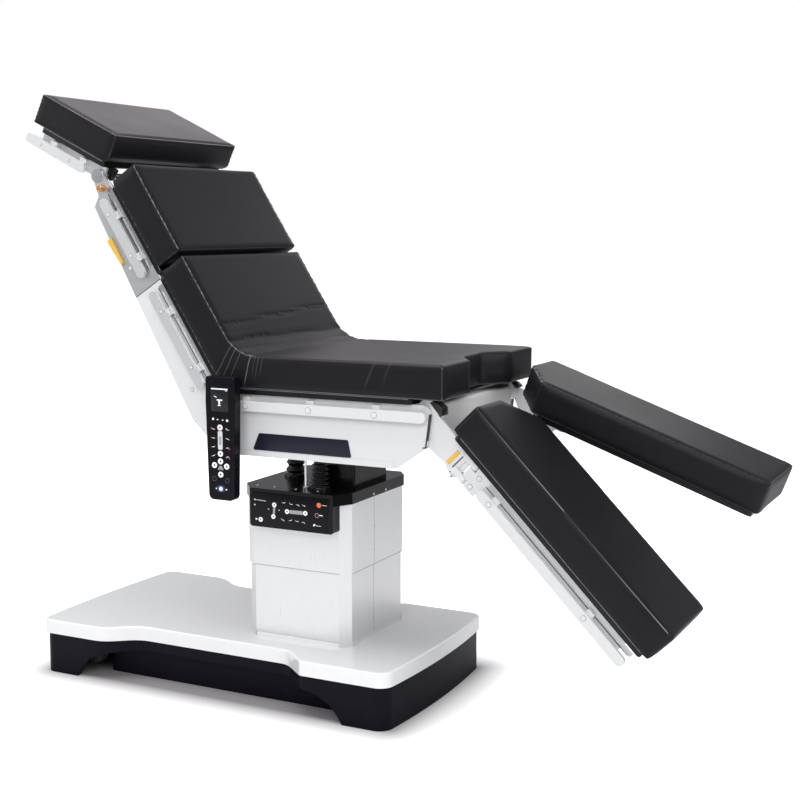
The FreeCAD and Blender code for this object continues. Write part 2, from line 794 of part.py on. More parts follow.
pitch_barrel_low = size("pitch_barrel_low", 345)
roll_barrel_low = size("roll_barrel_low", 395)
barrels = []
for name, spot, low in (
    ("pitch", (pitch_rod_x, 0), pitch_barrel_low),
    ("roll", (roll_rod_x, roll_rod_y), roll_barrel_low),
):
    tilt_barrel = Piece(f"tilt_barrel_{name}")
    tilt_barrel.add_round("z", low, cap_ceiling - low, spot, tilt_barrel_radius)
    tilt_barrel.bore("z", low + 6, cap_ceiling - low - 6, spot, tilt_rod_radius + running_gap)
    barrels.append(tilt_barrel.body)
keep("tilt_cylinder_barrels", barrels)

post = Piece("trunnion_post")
post_foot = post_lug_near + post_lug_wall + 4
post.add("z", cap_top, 10, box_outline(pivot_x - post_foot, -42, pivot_x + post_foot, 42))
for side in (-1, 1):
    lug_low = pivot_x + post_lug_near if side > 0 else pivot_x - post_lug_near - post_lug_wall
    flare = [(-30, cap_top + 10), (30, cap_top + 10), (lug_radius, pivot_z), (-lug_radius, pivot_z)]
    post.add("x", lug_low, post_lug_wall, flare)
    post.add_round("x", lug_low, post_lug_wall, (0, pivot_z), lug_radius)
    post.bore("x", lug_low, post_lug_wall, (0, pivot_z), trunnion_radius + running_gap)
guide = Piece("tilt_guide_rod")
guide.add_round("z", cap_top, 78, (27, -151), 3)
guide.add_round("z", cap_top, 7, (27, -151), 7)
keep("trunnion_post", [post.body, guide.body])

cover_half_y = size("cover_half_y", 88)
cover = Piece("trunnion_cover")
cover.add("z", cap_top, 56, box_outline(20, -cover_half_y, 130, cover_half_y))
cover.round(6, corners("z", box_outline(20, -cover_half_y, 130, cover_half_y)))
cover.cut("z", cap_top, 56, box_outline(24, -cover_half_y + 4, 126, cover_half_y - 4))
keep("trunnion_cover", [cover.body])

bellows_ribs = 6


def tilt_drive(name, spot, rod_low, head_z, gaiter_top):
    """A tilt cylinder's rod with its domed head, and the gaiter round it."""
    rod_piece = Piece(name + "_rod")
    dome = tilt_rod_radius
    rod_piece.add_round("z", rod_low, head_z - rod_low, spot, dome)
    rod_piece.round(tilt_rod_radius - 0.5, at_level("z", head_z))
    keep(name + "_rod", [rod_piece.body])
    gaiter = Piece(name + "_bellows")
    hole = tilt_rod_radius + 1
    pitch = (gaiter_top - cap_top - 8) / bellows_ribs
    points = [(hole, cap_top), (bellows_radius + 4, cap_top), (bellows_radius + 4, cap_top + 8)]
    for rib in range(bellows_ribs):
        share = rib / bellows_ribs
        crest = bellows_radius - (bellows_radius - bellows_top_radius) * share
        points.append((crest - 6, cap_top + 8 + pitch * rib))
        points.append((crest, cap_top + 8 + pitch * (rib + 0.5)))
    points.append((bellows_top_radius - 4, gaiter_top))
    points.append((hole, gaiter_top))
    gaiter.turned("y", points, spot)
    keep(name + "_bellows", [gaiter.body])


roll_head_z = pivot_z - 11 - rod_clearance
pitch_head_z = pivot_z + saddle_low - rod_clearance
tilt_drive("roll", (roll_rod_x, roll_rod_y), roll_barrel_low + 45, roll_head_z, cap_top + 76)
tilt_drive("pitch", (pitch_rod_x, as_size(0)), pitch_barrel_low + 82, pitch_head_z, cap_top + 124)

cross = Piece("cardan_cross")
cross_half = post_lug_near - 2
cross.add("z", pivot_z - 17, 34, box_outline(pivot_x - cross_half, -36, pivot_x + cross_half, 36))
trunnion_reach = post_lug_near + post_lug_wall
cross.add_round("x", pivot_x - trunnion_reach, trunnion_reach * 2, (0, pivot_z), trunnion_radius)
saddle_reach = saddle_lug_near + saddle_lug_wall
cross.add_round("y", -saddle_reach, saddle_reach * 2, (pivot_x, pivot_z), trunnion_radius)
arm_box = box_outline(roll_rod_x - 13, pivot_z - 11, roll_rod_x + 5, pivot_z - 1)
cross.add("y", roll_rod_y - 10, -30 - roll_rod_y + 10, arm_box)
cross.add_round("z", pivot_z - 11, 10, (roll_rod_x, roll_rod_y), 17)
keep("cardan_cross", [cross.body])

saddle = Piece("tilt_saddle")
saddle_z = pivot_z + saddle_low
saddle_x0 = pivot_x - saddle_half_x
saddle_x1 = pivot_x + saddle_half_x
saddle.add("z", saddle_z, saddle_thick, box_outline(saddle_x0, -saddle_half_y, saddle_x1, saddle_half_y))
saddle.add("z", saddle_z, saddle_thick, box_outline(pitch_rod_x - 20, -22, saddle_x0 + 1, 22))
for side in (-1, 1):
    lug_low, lug_wall = across(side, saddle_lug_near, saddle_lug_near + saddle_lug_wall)
    flare = [
        (pivot_x - lug_radius, pivot_z),
        (pivot_x + lug_radius, pivot_z),
        (pivot_x + 28, saddle_z),
        (pivot_x - 28, saddle_z),
    ]
    saddle.add("y", lug_low, lug_wall, flare)
    saddle.add_round("y", lug_low, lug_wall, (pivot_x, pivot_z), lug_radius)
    saddle.bore("y", lug_low, lug_wall, (pivot_x, pivot_z), trunnion_radius + running_gap)
flange_outer = slide_beam_mid + slide_beam_half + slide_flange
claw_low = flange_outer + beam_gap
claw_lip = slide_low + slide_flange_thick + beam_gap
for side in (-1, 1):
    for claw_x in (saddle_x0, saddle_x1 - 80):
        low, wide = across(side, claw_low, saddle_half_y)
        saddle.add("z", saddle_top, claw_lip + 6 - saddle_top, box_outline(claw_x, low, claw_x + 80, low + wide))
        low, wide = across(side, claw_low - slide_flange + 0.5, saddle_half_y)
        saddle.add("z", claw_lip, 6, box_outline(claw_x, low, claw_x + 80, low + wide))
keep("tilt_saddle", [saddle.body])


# Seat section

chassis = []
front_beam_x0 = leg_hinge_x - 26
front_beam_x1 = leg_hinge_x + 18
rear_beam_x0 = back_hinge_x - 22
rear_beam_x1 = back_hinge_x + 22
slide = Piece("slide_beam_near")
beam_inner = slide_beam_mid - slide_beam_half
beam_outer = slide_beam_mid + slide_beam_half
slide.add("z", slide_low, slide_beam_height, box_outline(rear_beam_x1, -beam_outer, front_beam_x0, -beam_inner))
slide.add(
    "z",
    slide_low,
    slide_flange_thick,
    box_outline(rear_beam_x1, -flange_outer, front_beam_x0, -beam_inner + slide_flange),
)
chassis += [slide.body, mirrored(slide.body)]
front = Piece("front_cross_beam")
front_half = leg_drum_inner - 2
front_top = frame_top - 1
front_box = box_outline(front_beam_x0, -front_half, front_beam_x1, front_half)
front.add("z", slide_low, front_top - slide_low, front_box)
front.round(8, corners("y", [(front_beam_x1, slide_low), (front_beam_x1, front_top), (front_beam_x0, front_top)]))
front.add_round("y", -plate_outer, plate_outer * 2, (leg_hinge_x, leg_hinge_z), hinge_pin_radius)
chassis.append(front.body)
rear = Piece("rear_cross_beam")
rear_box = box_outline(rear_beam_x0, back_hinge_z - 20, rear_beam_x1, back_hinge_z + 20)
rear.add("y", -arm_outer, arm_outer * 2, rear_box)
rear.round(16, corners("y", rear_box))
rear.add_round("y", -plate_outer, plate_outer * 2, (back_hinge_x, back_hinge_z), hinge_pin_radius)
chassis.append(rear.body)
for bar_x in (-70, 290):
    outrigger = Piece(f"outrigger_{chassis[-1].Name}")
    outrigger.add(
        "y",
        -plate_inner,
        plate_inner - beam_outer,
        box_outline(bar_x, claw_lip + 9, bar_x + 34, slide_low + slide_beam_height),
    )
    chassis += [outrigger.body, mirrored(outrigger.body)]
keep("seat_chassis", chassis)

seat_plate = Piece("seat_side_plates")
low_x = back_hinge_x + 58
seat_outline = [
    (low_x, seat_plate_bottom),
    (seat_slant_x, seat_plate_bottom),
    (seat_plate_front_x, seat_plate_bottom + seat_slant_rise),
    (seat_plate_front_x + 5, frame_top),
    (low_x, frame_top),
]
seat_plate.add("y", -plate_outer, plate_wall, seat_outline)
seat_plate.round(16, corners("y", [seat_outline[3]]))
seat_plate.round(6, corners("y", [seat_outline[1], seat_outline[2]]))
seat_plate.add(
    "y",
    -plate_outer - 2,
    3,
    box_outline(low_x, seat_plate_bottom, seat_slant_x - 4, seat_plate_bottom + seat_lip_height),
)
seat_plate.bore("y", -plate_outer - 2, plate_wall + 2, (back_hinge_x, back_hinge_z), hinge_disc_radius + disc_gap)
seat_plate.bore("y", -plate_outer, plate_wall, (leg_hinge_x, leg_hinge_z), hinge_pin_radius)
pair("seat_side_plates", seat_plate)


def fold_start(depth):
    """How far from the hinge line a pad begins at a depth, so that the fold closes at its limit."""
    half_fold = f"tan(({back_fold_limit.text} - 180) * -0.5 deg)"
    steep = math.tan(math.radians((180 - back_fold_limit.value) / 2))
    return Size(depth.value / steep, f"({depth.text} / {half_fold})")


seat_board = Piece("seat_board")
board_rear_x = back_hinge_x + fold_start(back_hinge_depth - pad_thick)
seat_board_box = box_outline(board_rear_x, -board_half, seat_board_front_x, board_half)
seat_board.add("z", frame_top, board_thick, seat_board_box)
seat_board.round(12, corners("z", seat_board_box))
keep("seat_board", [seat_board.body])

seat_mattress = Piece("seat_mattress")
seat_mattress.add(
    "y",
    -pad_half,
    pad_half * 2,
    [
        (back_hinge_x + fold_start(back_hinge_depth - pad_thick), pad_bottom),
        (seat_front_x, pad_bottom),
        (seat_front_x, seat_top),
        (back_hinge_x + fold_start(back_hinge_depth), seat_top),
    ],
)
notch = [
    (seat_front_x + 1, -notch_half - 4),
    (seat_front_x + 1, notch_half + 4),
    (seat_front_x - notch_depth, notch_floor_half),
    (seat_front_x - notch_depth, -notch_floor_half),
]
seat_mattress.cut("z", pad_bottom, pad_thick, notch)
seat_mattress.round(24, corners("z", [(seat_front_x, -pad_half), (seat_front_x, pad_half)]))
keep("seat_mattress", [seat_mattress.body])


def rail_with_blocks(label, frame, start, end, low_v, block_spots, block_inner, sense):
    """An accessory rail with round ends, held off the frame by short blocks."""
    rail = Piece(label, frame)
    first = as_size(start) * sense
    last = as_size(end) * sense
    if sense < 0:
        first, last = last, first
    rail.add("y", -rail_outer, rail_wall, box_outline(first, low_v, last, low_v + rail_height))
    rail.round(rail_height / 2 - 0.5, corners("y", box_outline(first, low_v, last, low_v + rail_height)))
    for spot in block_spots:
        middle = as_size(spot) * sense
        rail.add(
            "y",
            -rail_inner - 1,
            rail_inner - block_inner + 1,
            box_outline(middle - 10, low_v + 10, middle + 10, low_v + rail_height + 9),
        )
    return rail


seat_rail_low = leg_hinge_z - 24
seat_rail = rail_with_blocks("seat_rail_near", None, -138, 412, seat_rail_low, (-68, 108, 283), plate_outer, 1)
keep("seat_rails", [seat_rail.body, mirrored(seat_rail.body)])

handset = Piece("handset")
handset_back = handset_front_y - handset_thick
shape = [
    (handset_x - handset_half + 6, handset_low_z),
    (handset_x + handset_half - 6, handset_low_z),
    (handset_x + handset_half, handset_top_z - 60),
    (handset_x + handset_half - 1, handset_top_z),
    (handset_x - handset_half + 1, handset_top_z),
    (handset_x - handset_half, handset_top_z - 60),
]
handset.add("y", -handset_front_y, handset_thick, shape)
handset.round(14, corners("y", [shape[0], shape[1]]))
handset.round(7, corners("y", [shape[3], shape[4]]))
handset.round(3, at_level("y", -handset_front_y))
hook_gap = size("hook_gap", 0.5)
rail_crest = seat_rail_low + rail_height + hook_gap
hook_x0 = handset_x - 13
hook_x1 = handset_x + 13
handset.add("z", rail_crest, 5, box_outline(hook_x0, -handset_back - 2, hook_x1, -plate_outer - 1.5))
handset.add("z", rail_crest - 6, 8, box_outline(hook_x0, -rail_inner + hook_gap, hook_x1, -plate_outer - 1.5))
handset.add("z", rail_crest - 30, 35, box_outline(hook_x0, -handset_back - 2, hook_x1, -rail_outer - hook_gap))
keep("handset", [handset.body])


# Back sections

def back_spot(u, v):
    return (-as_size(u), as_size(v))


low_plate = Piece("lower_back_side_plates", back_frame)
low_outline = [
    back_spot(part_line_u - 1, -back_plate_rear_mid),
    back_spot(10, -back_plate_rear_low),
    back_spot(-44, -57),
    back_spot(-hinge_disc_radius, -12),
    back_spot(-hinge_disc_radius + 1, 3),
    back_spot(-13, back_frame_v),
    back_spot(part_line_u - 1, back_frame_v),
]
low_plate.add("y", -plate_outer, plate_wall, low_outline)
low_plate.round(30, corners("y", low_outline[1:4]))
low_plate.bore("y", -plate_outer, plate_wall, (0, 0), hinge_pin_radius + running_gap)
pair("lower_back_side_plates", low_plate)

high_plate = Piece("upper_back_side_plates", back_frame)
neck = back_plate_neck_u
high_outline = [
    back_spot(part_line_u + 1, -back_plate_rear_mid),
    back_spot(neck, -back_plate_rear_high),
    back_spot(neck + 16, -6),
    back_spot(head_hub_u - 6, head_hub_v - hub_radius + 1),
    back_spot(head_hub_u - 6, head_hub_v + hub_radius - 1),
    back_spot(neck - 4, back_frame_v),
    back_spot(part_line_u + 1, back_frame_v),
]
high_plate.add("y", -plate_outer, plate_wall, high_outline)
high_plate.add_round("y", -plate_outer, plate_wall, back_spot(head_hub_u, head_hub_v), hub_radius)
high_plate.bore("y", -plate_outer, plate_wall, back_spot(head_hub_u, head_hub_v), hub_tube_radius)
knob_offset = size("knob_offset", 35)
knob_u = head_hub_u - knob_offset
knob_v = size("knob_v", 16)
knob_pin_radius = size("knob_pin_radius", 4)
high_plate.bore("y", -plate_outer, plate_wall, back_spot(knob_u, knob_v), knob_pin_radius + running_gap)
lever_pivot_u = size("lever_pivot_u", 444)
lever_pin_radius = size("lever_pin_radius", 3)
lever_pivot = back_spot(lever_pivot_u, -36)
high_plate.bore("y", -plate_outer, plate_wall, lever_pivot, lever_pin_radius + running_gap)
tongue = box_outline(-part_line_u - 22, -20, -part_line_u + 38, 10)
high_plate.add("y", -plate_inner, plate_wall, tongue)
pair("upper_back_side_plates", high_plate)

boards = []
for name, start, end in (
    ("lower", fold_start(back_hinge_depth - pad_thick), part_line_u - 1),
    ("upper", part_line_u + 8, upper_back_end - 10),
):
    board = Piece(f"back_board_{name}", back_frame)
    board.add("z", back_frame_v, board_thick, box_outline(-end, -board_half, -start, board_half))
    board.round(8, corners("z", box_outline(-end, -board_half, -start, board_half)))
    boards.append(board.body)
keep("back_boards", boards)

pad_low_v = back_hinge_depth - pad_thick
lower_pad = Piece("lower_back_mattress", back_frame)
lower_pad.add(
    "y",
    -pad_half,
    pad_half * 2,
    [
        back_spot(fold_start(back_hinge_depth - pad_thick), pad_low_v),
        back_spot(fold_start(back_hinge_depth), back_hinge_depth),
        back_spot(lower_back_end, back_hinge_depth),
        back_spot(lower_back_end, pad_low_v),
    ],
)
keep("lower_back_mattress", [lower_pad.body])

upper_pad = Piece("upper_back_pad", back_frame)
upper_pad.add(
    "y",
    -pad_half,
    pad_half * 2,
    box_outline(-upper_back_end, pad_low_v, -upper_back_start, back_hinge_depth),
)
upper_pad.round(10, corners("z", [(-upper_back_end, -pad_half), (-upper_back_end, pad_half)]))
keep("upper_back_pad", [upper_pad.body])

low_rail = rail_with_blocks("lower_back_rail", back_frame, 57, 333, back_rail_v, (107, 267), plate_outer, -1)
high_rail = rail_with_blocks("upper_back_rail", back_frame, 376, 603, back_rail_v, (427, 548), plate_outer, -1)
keep("back_rails", [low_rail.body, mirrored(low_rail.body), high_rail.body, mirrored(high_rail.body)])

bars = []
for number, bar_u in enumerate((150, 300, 400, 580)):
    bar = Piece(f"back_bar_{number + 1}", back_frame)
    bar_box = box_outline(-bar_u - 20, back_frame_v - 26, -bar_u + 20, back_frame_v)
    bar.add("y", -plate_inner, plate_inner * 2, bar_box)
    bar.round(4, corners("y", bar_box))
    bars.append(bar.body)
keep("back_cross_members", bars)

lever = Piece("release_lever", back_frame)
lever_reach = size("lever_reach", 71)
lever_y = plate_outer + 0.5
lever_shape = [
    back_spot(lever_pivot_u - 6, -40),
    back_spot(lever_pivot_u + 2, -31),
    back_spot(lever_pivot_u + lever_reach, -29),
    back_spot(lever_pivot_u + lever_reach - 3, -43),
    back_spot(lever_pivot_u + lever_reach - 10, -44),
]
lever.add("y", -lever_y - 5, 5, lever_shape)
lever.add_round("y", -lever_y, lever_y - plate_inner, lever_pivot, lever_pin_radius)
keep("release_lever", [lever.body])


# Head section

hub_tube = Piece("head_hinge_pin", back_frame)
hub_spot = back_spot(head_hub_u, head_hub_v)
hub_tube.add_round("y", -plate_outer, plate_outer - hub_stub_inner, hub_spot, hub_tube_radius)
hub_tube.add_round("y", -plate_outer - 3, 3, hub_spot, hub_radius - 1)
pair("head_hinge_pins", hub_tube)

knob = Piece("release_knob", back_frame)
knob_spot = back_spot(knob_u, knob_v)
knob.add_round("y", -plate_outer - 17, 16, knob_spot, 8.5)
knob.round(2, at_level("y", -plate_outer - 17))
knob.add_round("y", -plate_outer - 1, plate_wall + 1, knob_spot, knob_pin_radius)
keep("release_knob", [knob.body])

head_parts = []
head_side = Piece("head_side_plate", head_frame)
head_outline = [
    back_spot(-6, -hub_radius + 2),
    back_spot(30, -8),
    back_spot(head_frame_end, -8),
    back_spot(head_frame_end, head_frame_v),
    back_spot(-12, head_frame_v),
    back_spot(-hub_radius + 4, 8),
]
head_side.add("y", -arm_outer, plate_wall, head_outline)
head_side.add_round("y", -arm_outer, plate_wall, (0, 0), hub_radius)
head_side.bore("y", -arm_outer, plate_wall, (0, 0), hub_tube_radius + running_gap)
head_parts += [head_side.body, mirrored(head_side.body)]
for number, bar_u in enumerate((48, 182)):
    bar = Piece(f"head_bar_{number + 1}", head_frame)
    bar_box = box_outline(-bar_u - 15, head_frame_v - 18, -bar_u + 15, head_frame_v)
    bar.add("y", -arm_inner, arm_inner * 2, bar_box)
    head_parts.append(bar.body)
head_rail = rail_with_blocks("head_rail", head_frame, 32, 235, -10, (50, 152), arm_outer, -1)
head_parts += [head_rail.body, mirrored(head_rail.body)]
keep("head_frame", head_parts)

head_board = Piece("head_board", head_frame)
head_board_half = board_half - 8
head_board_box = box_outline(-head_frame_end - 5, -head_board_half, 6, head_board_half)
head_board.add("z", head_frame_v, board_thick, head_board_box)
head_board.round(10, corners("z", head_board_box))
keep("head_board", [head_board.body])

head_pad = Piece("head_pad", head_frame)
head_pad_low = head_pad_top_v - head_pad_thick
head_pad.add(
    "y",
    -head_pad_half,
    head_pad_half * 2,
    box_outline(-head_pad_end, head_pad_low, -head_pad_start, head_pad_top_v),
)
head_pad.bevel(14, corners("y", [(-head_pad_start, head_pad_low)]))
keep("head_pad", [head_pad.body])


# Legs

button_u = size("button_u", 116)
button_v = size("button_v", -23)
for hand, side, frame in (("near", -1, near_leg), ("far", 1, far_leg)):
    housing = Piece(f"{hand}_leg_housing", frame)
    arm_low, arm_wall = across(side, arm_inner, arm_outer)
    arm = [
        (-6, 15),
        (20, -12),
        (58, -56),
        (112, -49),
        (146, -62),
        (leg_part_u, -47),
        (leg_part_u, leg_frame_v - 1),
        (10, leg_frame_v - 1),
    ]
    housing.add("y", arm_low, arm_wall, arm)
    housing.round(5, corners("y", arm[2:5]))
    drum_low, drum_wall = across(side, leg_drum_inner, arm_outer)
    housing.add_round("y", drum_low, drum_wall, (0, 0), leg_drum_radius)
    housing.bore("y", drum_low, drum_wall, (0, 0), hinge_pin_radius + running_gap)
    slot_low, slot_wall = across(side, arm_inner, arm_outer)
    housing.cut("y", slot_low, slot_wall, box_outline(button_u - 5, button_v - 20, button_u + 5, button_v + 20))
    root_low, root_wide = across(side, arm_inner, spread_y + knuckle_radius - 2)
    for low_v, high_v in ((-47, -31), (-2, 14)):
        root_box = box_outline(leg_part_u - 20, root_low, spread_u, root_low + root_wide)
        housing.add("z", low_v, high_v - low_v, root_box)
        housing.add_round("z", low_v, high_v - low_v, (spread_u, side * spread_y), knuckle_radius)
    housing.add_round("z", -40, 48, (spread_u, side * spread_y), axle_radius)
    keep(f"{hand}_leg_housing", [housing.body])

    button = Piece(f"{hand}_leg_button", frame)
    button_low, button_wall = across(side, arm_inner - 1, arm_outer + 1.2)
    button_box = box_outline(button_u - 4.7, button_v - 19.7, button_u + 4.7, button_v + 19.7)
    button.add("y", button_low, button_wall, button_box)
    button.round(4, corners("y", button_box))
    keep(f"{hand}_leg_button", [button.body])

    leg = Piece(f"{hand}_leg_frame", frame)
    side_low, side_wall = across(side, plate_inner, plate_outer)
    side_plate = [
        (spread_u + knuckle_radius + 2, -46),
        (212, -46),
        (222, -16),
        (leg_frame_end, -16),
        (leg_frame_end, leg_frame_v),
        (spread_u + knuckle_radius + 2, leg_frame_v),
    ]
    leg.add("y", side_low, side_wall, side_plate)
    knuckle_low, knuckle_wide = across(side, spread_y - 6, plate_outer)
    leg.add("z", -30, 27, box_outline(spread_u, knuckle_low, spread_u + 30, knuckle_low + knuckle_wide))
    leg.add_round("z", -30, 27, (spread_u, side * spread_y), knuckle_radius)
    leg.bore("z", -30, 27, (spread_u, side * spread_y), axle_radius + running_gap)
    for bar_u in (190, 345, 500, 640):
        bar_low, bar_wide = across(side, leg_bar_inner, plate_inner + 1)
        leg.add("y", bar_low, bar_wide, box_outline(bar_u, leg_frame_v - 22, bar_u + 26, leg_frame_v))
    rail_low, rail_wide = across(side, rail_inner, rail_outer)
    rail_box = box_outline(216, leg_rail_v, leg_rail_end, leg_rail_v + rail_height)
    leg.add("y", rail_low, rail_wide, rail_box)
    leg.round(rail_height / 2 - 0.5, corners("y", rail_box))
    for block_u in (258, 576):
        block_low, block_wide = across(side, plate_outer - 1, rail_inner + 1)
        block_box = box_outline(block_u - 10, leg_rail_v + 10, block_u + 10, leg_rail_v + rail_height + 9)
        leg.add("y", block_low, block_wide, block_box)
    keep(f"{hand}_leg_frame", [leg.body])

    leg_board = Piece(f"{hand}_leg_board", frame)
    board_start = leg_pad_start + leg_board_inset
    board_end = leg_pad_end - leg_board_inset
    leg_board_plan = [
        (board_start, side * board_half),
        (board_start, side * (leg_chamfer_y + leg_board_inset)),
        (board_start + leg_chamfer_u, side * (leg_inner + leg_board_inset)),
        (board_end, side * (leg_inner + leg_board_inset)),
        (board_end, side * board_half),
    ]
    leg_board.add("z", leg_frame_v, board_thick, leg_board_plan)
    leg_board.round(10, corners("z", [leg_board_plan[0], leg_board_plan[3], leg_board_plan[4]]))
    keep(f"{hand}_leg_board", [leg_board.body])

    leg_pad = Piece(f"{hand}_leg_pad", frame)
    leg_pad_plan = [
        (leg_pad_start, side * pad_half),
        (leg_pad_start, side * leg_chamfer_y),
        (leg_pad_start + leg_chamfer_u, side * leg_inner),
        (leg_pad_end, side * leg_inner),
        (leg_pad_end, side * pad_half),
    ]
    leg_pad.add("z", leg_hinge_depth - pad_thick, pad_thick, leg_pad_plan)
    leg_pad.round(12, corners("z", [leg_pad_plan[0], leg_pad_plan[3], leg_pad_plan[4]]))
    keep(f"{hand}_leg_pad", [leg_pad.body])

doc.recompute()
faults = [item.Name for item in doc.Objects if "Invalid" in item.State or "Error" in item.State]
for item in kept:
    if item.Shape.isNull() or not item.Shape.isValid():
        faults.append(item.Label)
if faults:
    raise SystemExit("these objects failed: " + ", ".join(faults))

os.makedirs("parts", exist_ok=True)
for item in kept:
    item.Shape.exportStep(f"parts/{item.Label}.step")
print(len(kept), "sub-parts written")
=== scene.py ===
import math

import bpy
import numpy
from mathutils import Matrix, Vector


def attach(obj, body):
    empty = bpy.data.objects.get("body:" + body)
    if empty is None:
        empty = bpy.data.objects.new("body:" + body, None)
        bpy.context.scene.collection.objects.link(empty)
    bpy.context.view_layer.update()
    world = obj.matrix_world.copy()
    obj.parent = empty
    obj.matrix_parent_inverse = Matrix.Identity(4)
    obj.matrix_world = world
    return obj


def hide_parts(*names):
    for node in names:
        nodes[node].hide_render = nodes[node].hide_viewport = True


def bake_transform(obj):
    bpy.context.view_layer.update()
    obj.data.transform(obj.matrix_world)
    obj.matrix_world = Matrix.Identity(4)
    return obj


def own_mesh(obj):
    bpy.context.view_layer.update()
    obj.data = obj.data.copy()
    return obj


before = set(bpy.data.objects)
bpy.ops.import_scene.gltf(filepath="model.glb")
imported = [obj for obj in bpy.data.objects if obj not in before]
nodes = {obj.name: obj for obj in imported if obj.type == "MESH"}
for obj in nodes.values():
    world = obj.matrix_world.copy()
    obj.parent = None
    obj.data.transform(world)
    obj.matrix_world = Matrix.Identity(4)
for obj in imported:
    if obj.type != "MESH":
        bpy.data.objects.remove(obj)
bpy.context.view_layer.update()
scene = bpy.context.scene

# Places that repeat the CAD, in metres: +X to the leg end, +Y to the far side, +Z up
BACK_HINGE = (-0.168, 0.735)
BACK_ANGLE = math.radians(57.5)
HEAD_HUB_UV = (0.666, 0.019)
HEAD_ANGLE = math.radians(25.7)
LEG_HINGE = (0.406, 0.764)
NEAR_LEG_ANGLE = math.radians(45.6)
FAR_LEG_ANGLE = math.radians(20.1)
PAD_HALF = 0.275
HEAD_PAD_HALF = 0.266
BOARD_HALF = 0.265
PLATE_FACE = 0.256
LINE_FACE = 0.2562
ARM_FACE = 0.2463
RAIL_FACE = 0.274
SEAT_TOP = 0.874
PAD_THICK = 0.080


def section_matrix(origin, angle, sense):
    """Turns a section's own place (along it, across, out of it) into the table's."""
    turn = Matrix.Rotation(angle, 4, "Y")
    flip = Matrix.Diagonal((sense, 1, 1, 1))
    return Matrix.Translation((origin[0], 0, origin[1])) @ turn @ flip


BACK = section_matrix(BACK_HINGE, BACK_ANGLE, -1)
hub = BACK @ Vector((HEAD_HUB_UV[0], 0, HEAD_HUB_UV[1]))
HEAD = section_matrix((hub.x, hub.z), HEAD_ANGLE, -1)
NEAR_LEG = section_matrix(LEG_HINGE, NEAR_LEG_ANGLE, 1)
FAR_LEG = section_matrix(LEG_HINGE, FAR_LEG_ANGLE, 1)
TABLE = Matrix.Identity(4)


# Shader maths

class Flow:
    """A socket whose maths can be written as an expression."""

    def __init__(self, build, socket):
        self.build = build
        self.socket = socket

    def maths(self, operation, *others):
        return self.build.node("ShaderNodeMath", {"operation": operation}, [self, *others])

    def __add__(self, other):
        return self.maths("ADD", other)

    def __radd__(self, other):
        return self.maths("ADD", other)

    def __sub__(self, other):
        return self.maths("SUBTRACT", other)

    def __rsub__(self, other):
        return self.build.node("ShaderNodeMath", {"operation": "SUBTRACT"}, [other, self])

    def __mul__(self, other):
        return self.maths("MULTIPLY", other)

    def __rmul__(self, other):
        return self.maths("MULTIPLY", other)

    def __truediv__(self, other):
        return self.maths("DIVIDE", other)

    def clipped(self):
        """Held between nothing and one."""
        return self.build.node("ShaderNodeMath", {"operation": "ADD", "use_clamp": True}, [self, 0.0])


class Finish:
    """A procedural material round one Principled shader."""

    def __init__(self, name, colour, roughness=0.5, metallic=0.0, coat=0.0, coat_roughness=0.1, specular=0.5):
        self.material = bpy.data.materials.new(name)
        self.material.use_nodes = True
        self.tree = self.material.node_tree
        self.shader = self.tree.nodes["Principled BSDF"]
        self.set("Base Color", (*colour, 1.0))
        self.set("Roughness", roughness)
        self.set("Metallic", metallic)
        self.set("Coat Weight", coat)
        self.set("Coat Roughness", coat_roughness)
        self.set("Specular IOR Level", specular)
        self.colour = colour
        coordinates = self.tree.nodes.new("ShaderNodeTexCoord")
        self.place = Flow(self, coordinates.outputs["Object"])

    def set(self, socket, value):
        self.connect(self.shader.inputs[socket], value)

    def connect(self, target, value):
        if isinstance(value, Flow):
            self.tree.links.new(value.socket, target)
        else:
            target.default_value = value

    def node(self, kind, settings=None, values=None, output=0):
        made = self.tree.nodes.new(kind)
        for key, setting in (settings or {}).items():
            setattr(made, key, setting)
        if isinstance(values, dict):
            for key, value in values.items():
                self.connect(made.inputs[key], value)
        else:
            for index, value in enumerate(values or []):
                self.connect(made.inputs[index], value)
        return Flow(self, made.outputs[output])

    def noise(self, scale, detail=2.0, roughness=0.5, stretch=(1, 1, 1)):
        """Cloudy noise between nothing and one, its scale in patches to the metre."""
        spot = self.node("ShaderNodeMapping", None, {"Vector": self.place, "Scale": stretch})
        values = {"Vector": spot, "Scale": scale, "Detail": detail, "Roughness": roughness}
        return self.node("ShaderNodeTexNoise", None, values)

    def cells(self, scale, stretch=(1, 1, 1)):
        spot = self.node("ShaderNodeMapping", None, {"Vector": self.place, "Scale": stretch})
        return self.node("ShaderNodeTexVoronoi", None, {"Vector": spot, "Scale": scale})

    def between(self, mask, first, second):
        """A colour between two, by a mask."""
        made = self.tree.nodes.new("ShaderNodeMix")
        made.data_type = "RGBA"
        self.connect(made.inputs[0], mask)
        for socket, colour in ((made.inputs[6], first), (made.inputs[7], second)):
            self.connect(socket, colour if isinstance(colour, Flow) else (*colour, 1.0))
        return Flow(self, made.outputs[2])

    def attribute(self, name):
        return self.node("ShaderNodeAttribute", {"attribute_name": name}, None, 2)

    def bump(self, height, distance, strength=1.0):
        values = {"Height": height, "Distance": distance, "Strength": strength}
        self.set("Normal", self.node("ShaderNodeBump", None, values))


def lighter(colour, share):
    return tuple(min(1.0, c + share) for c in colour)


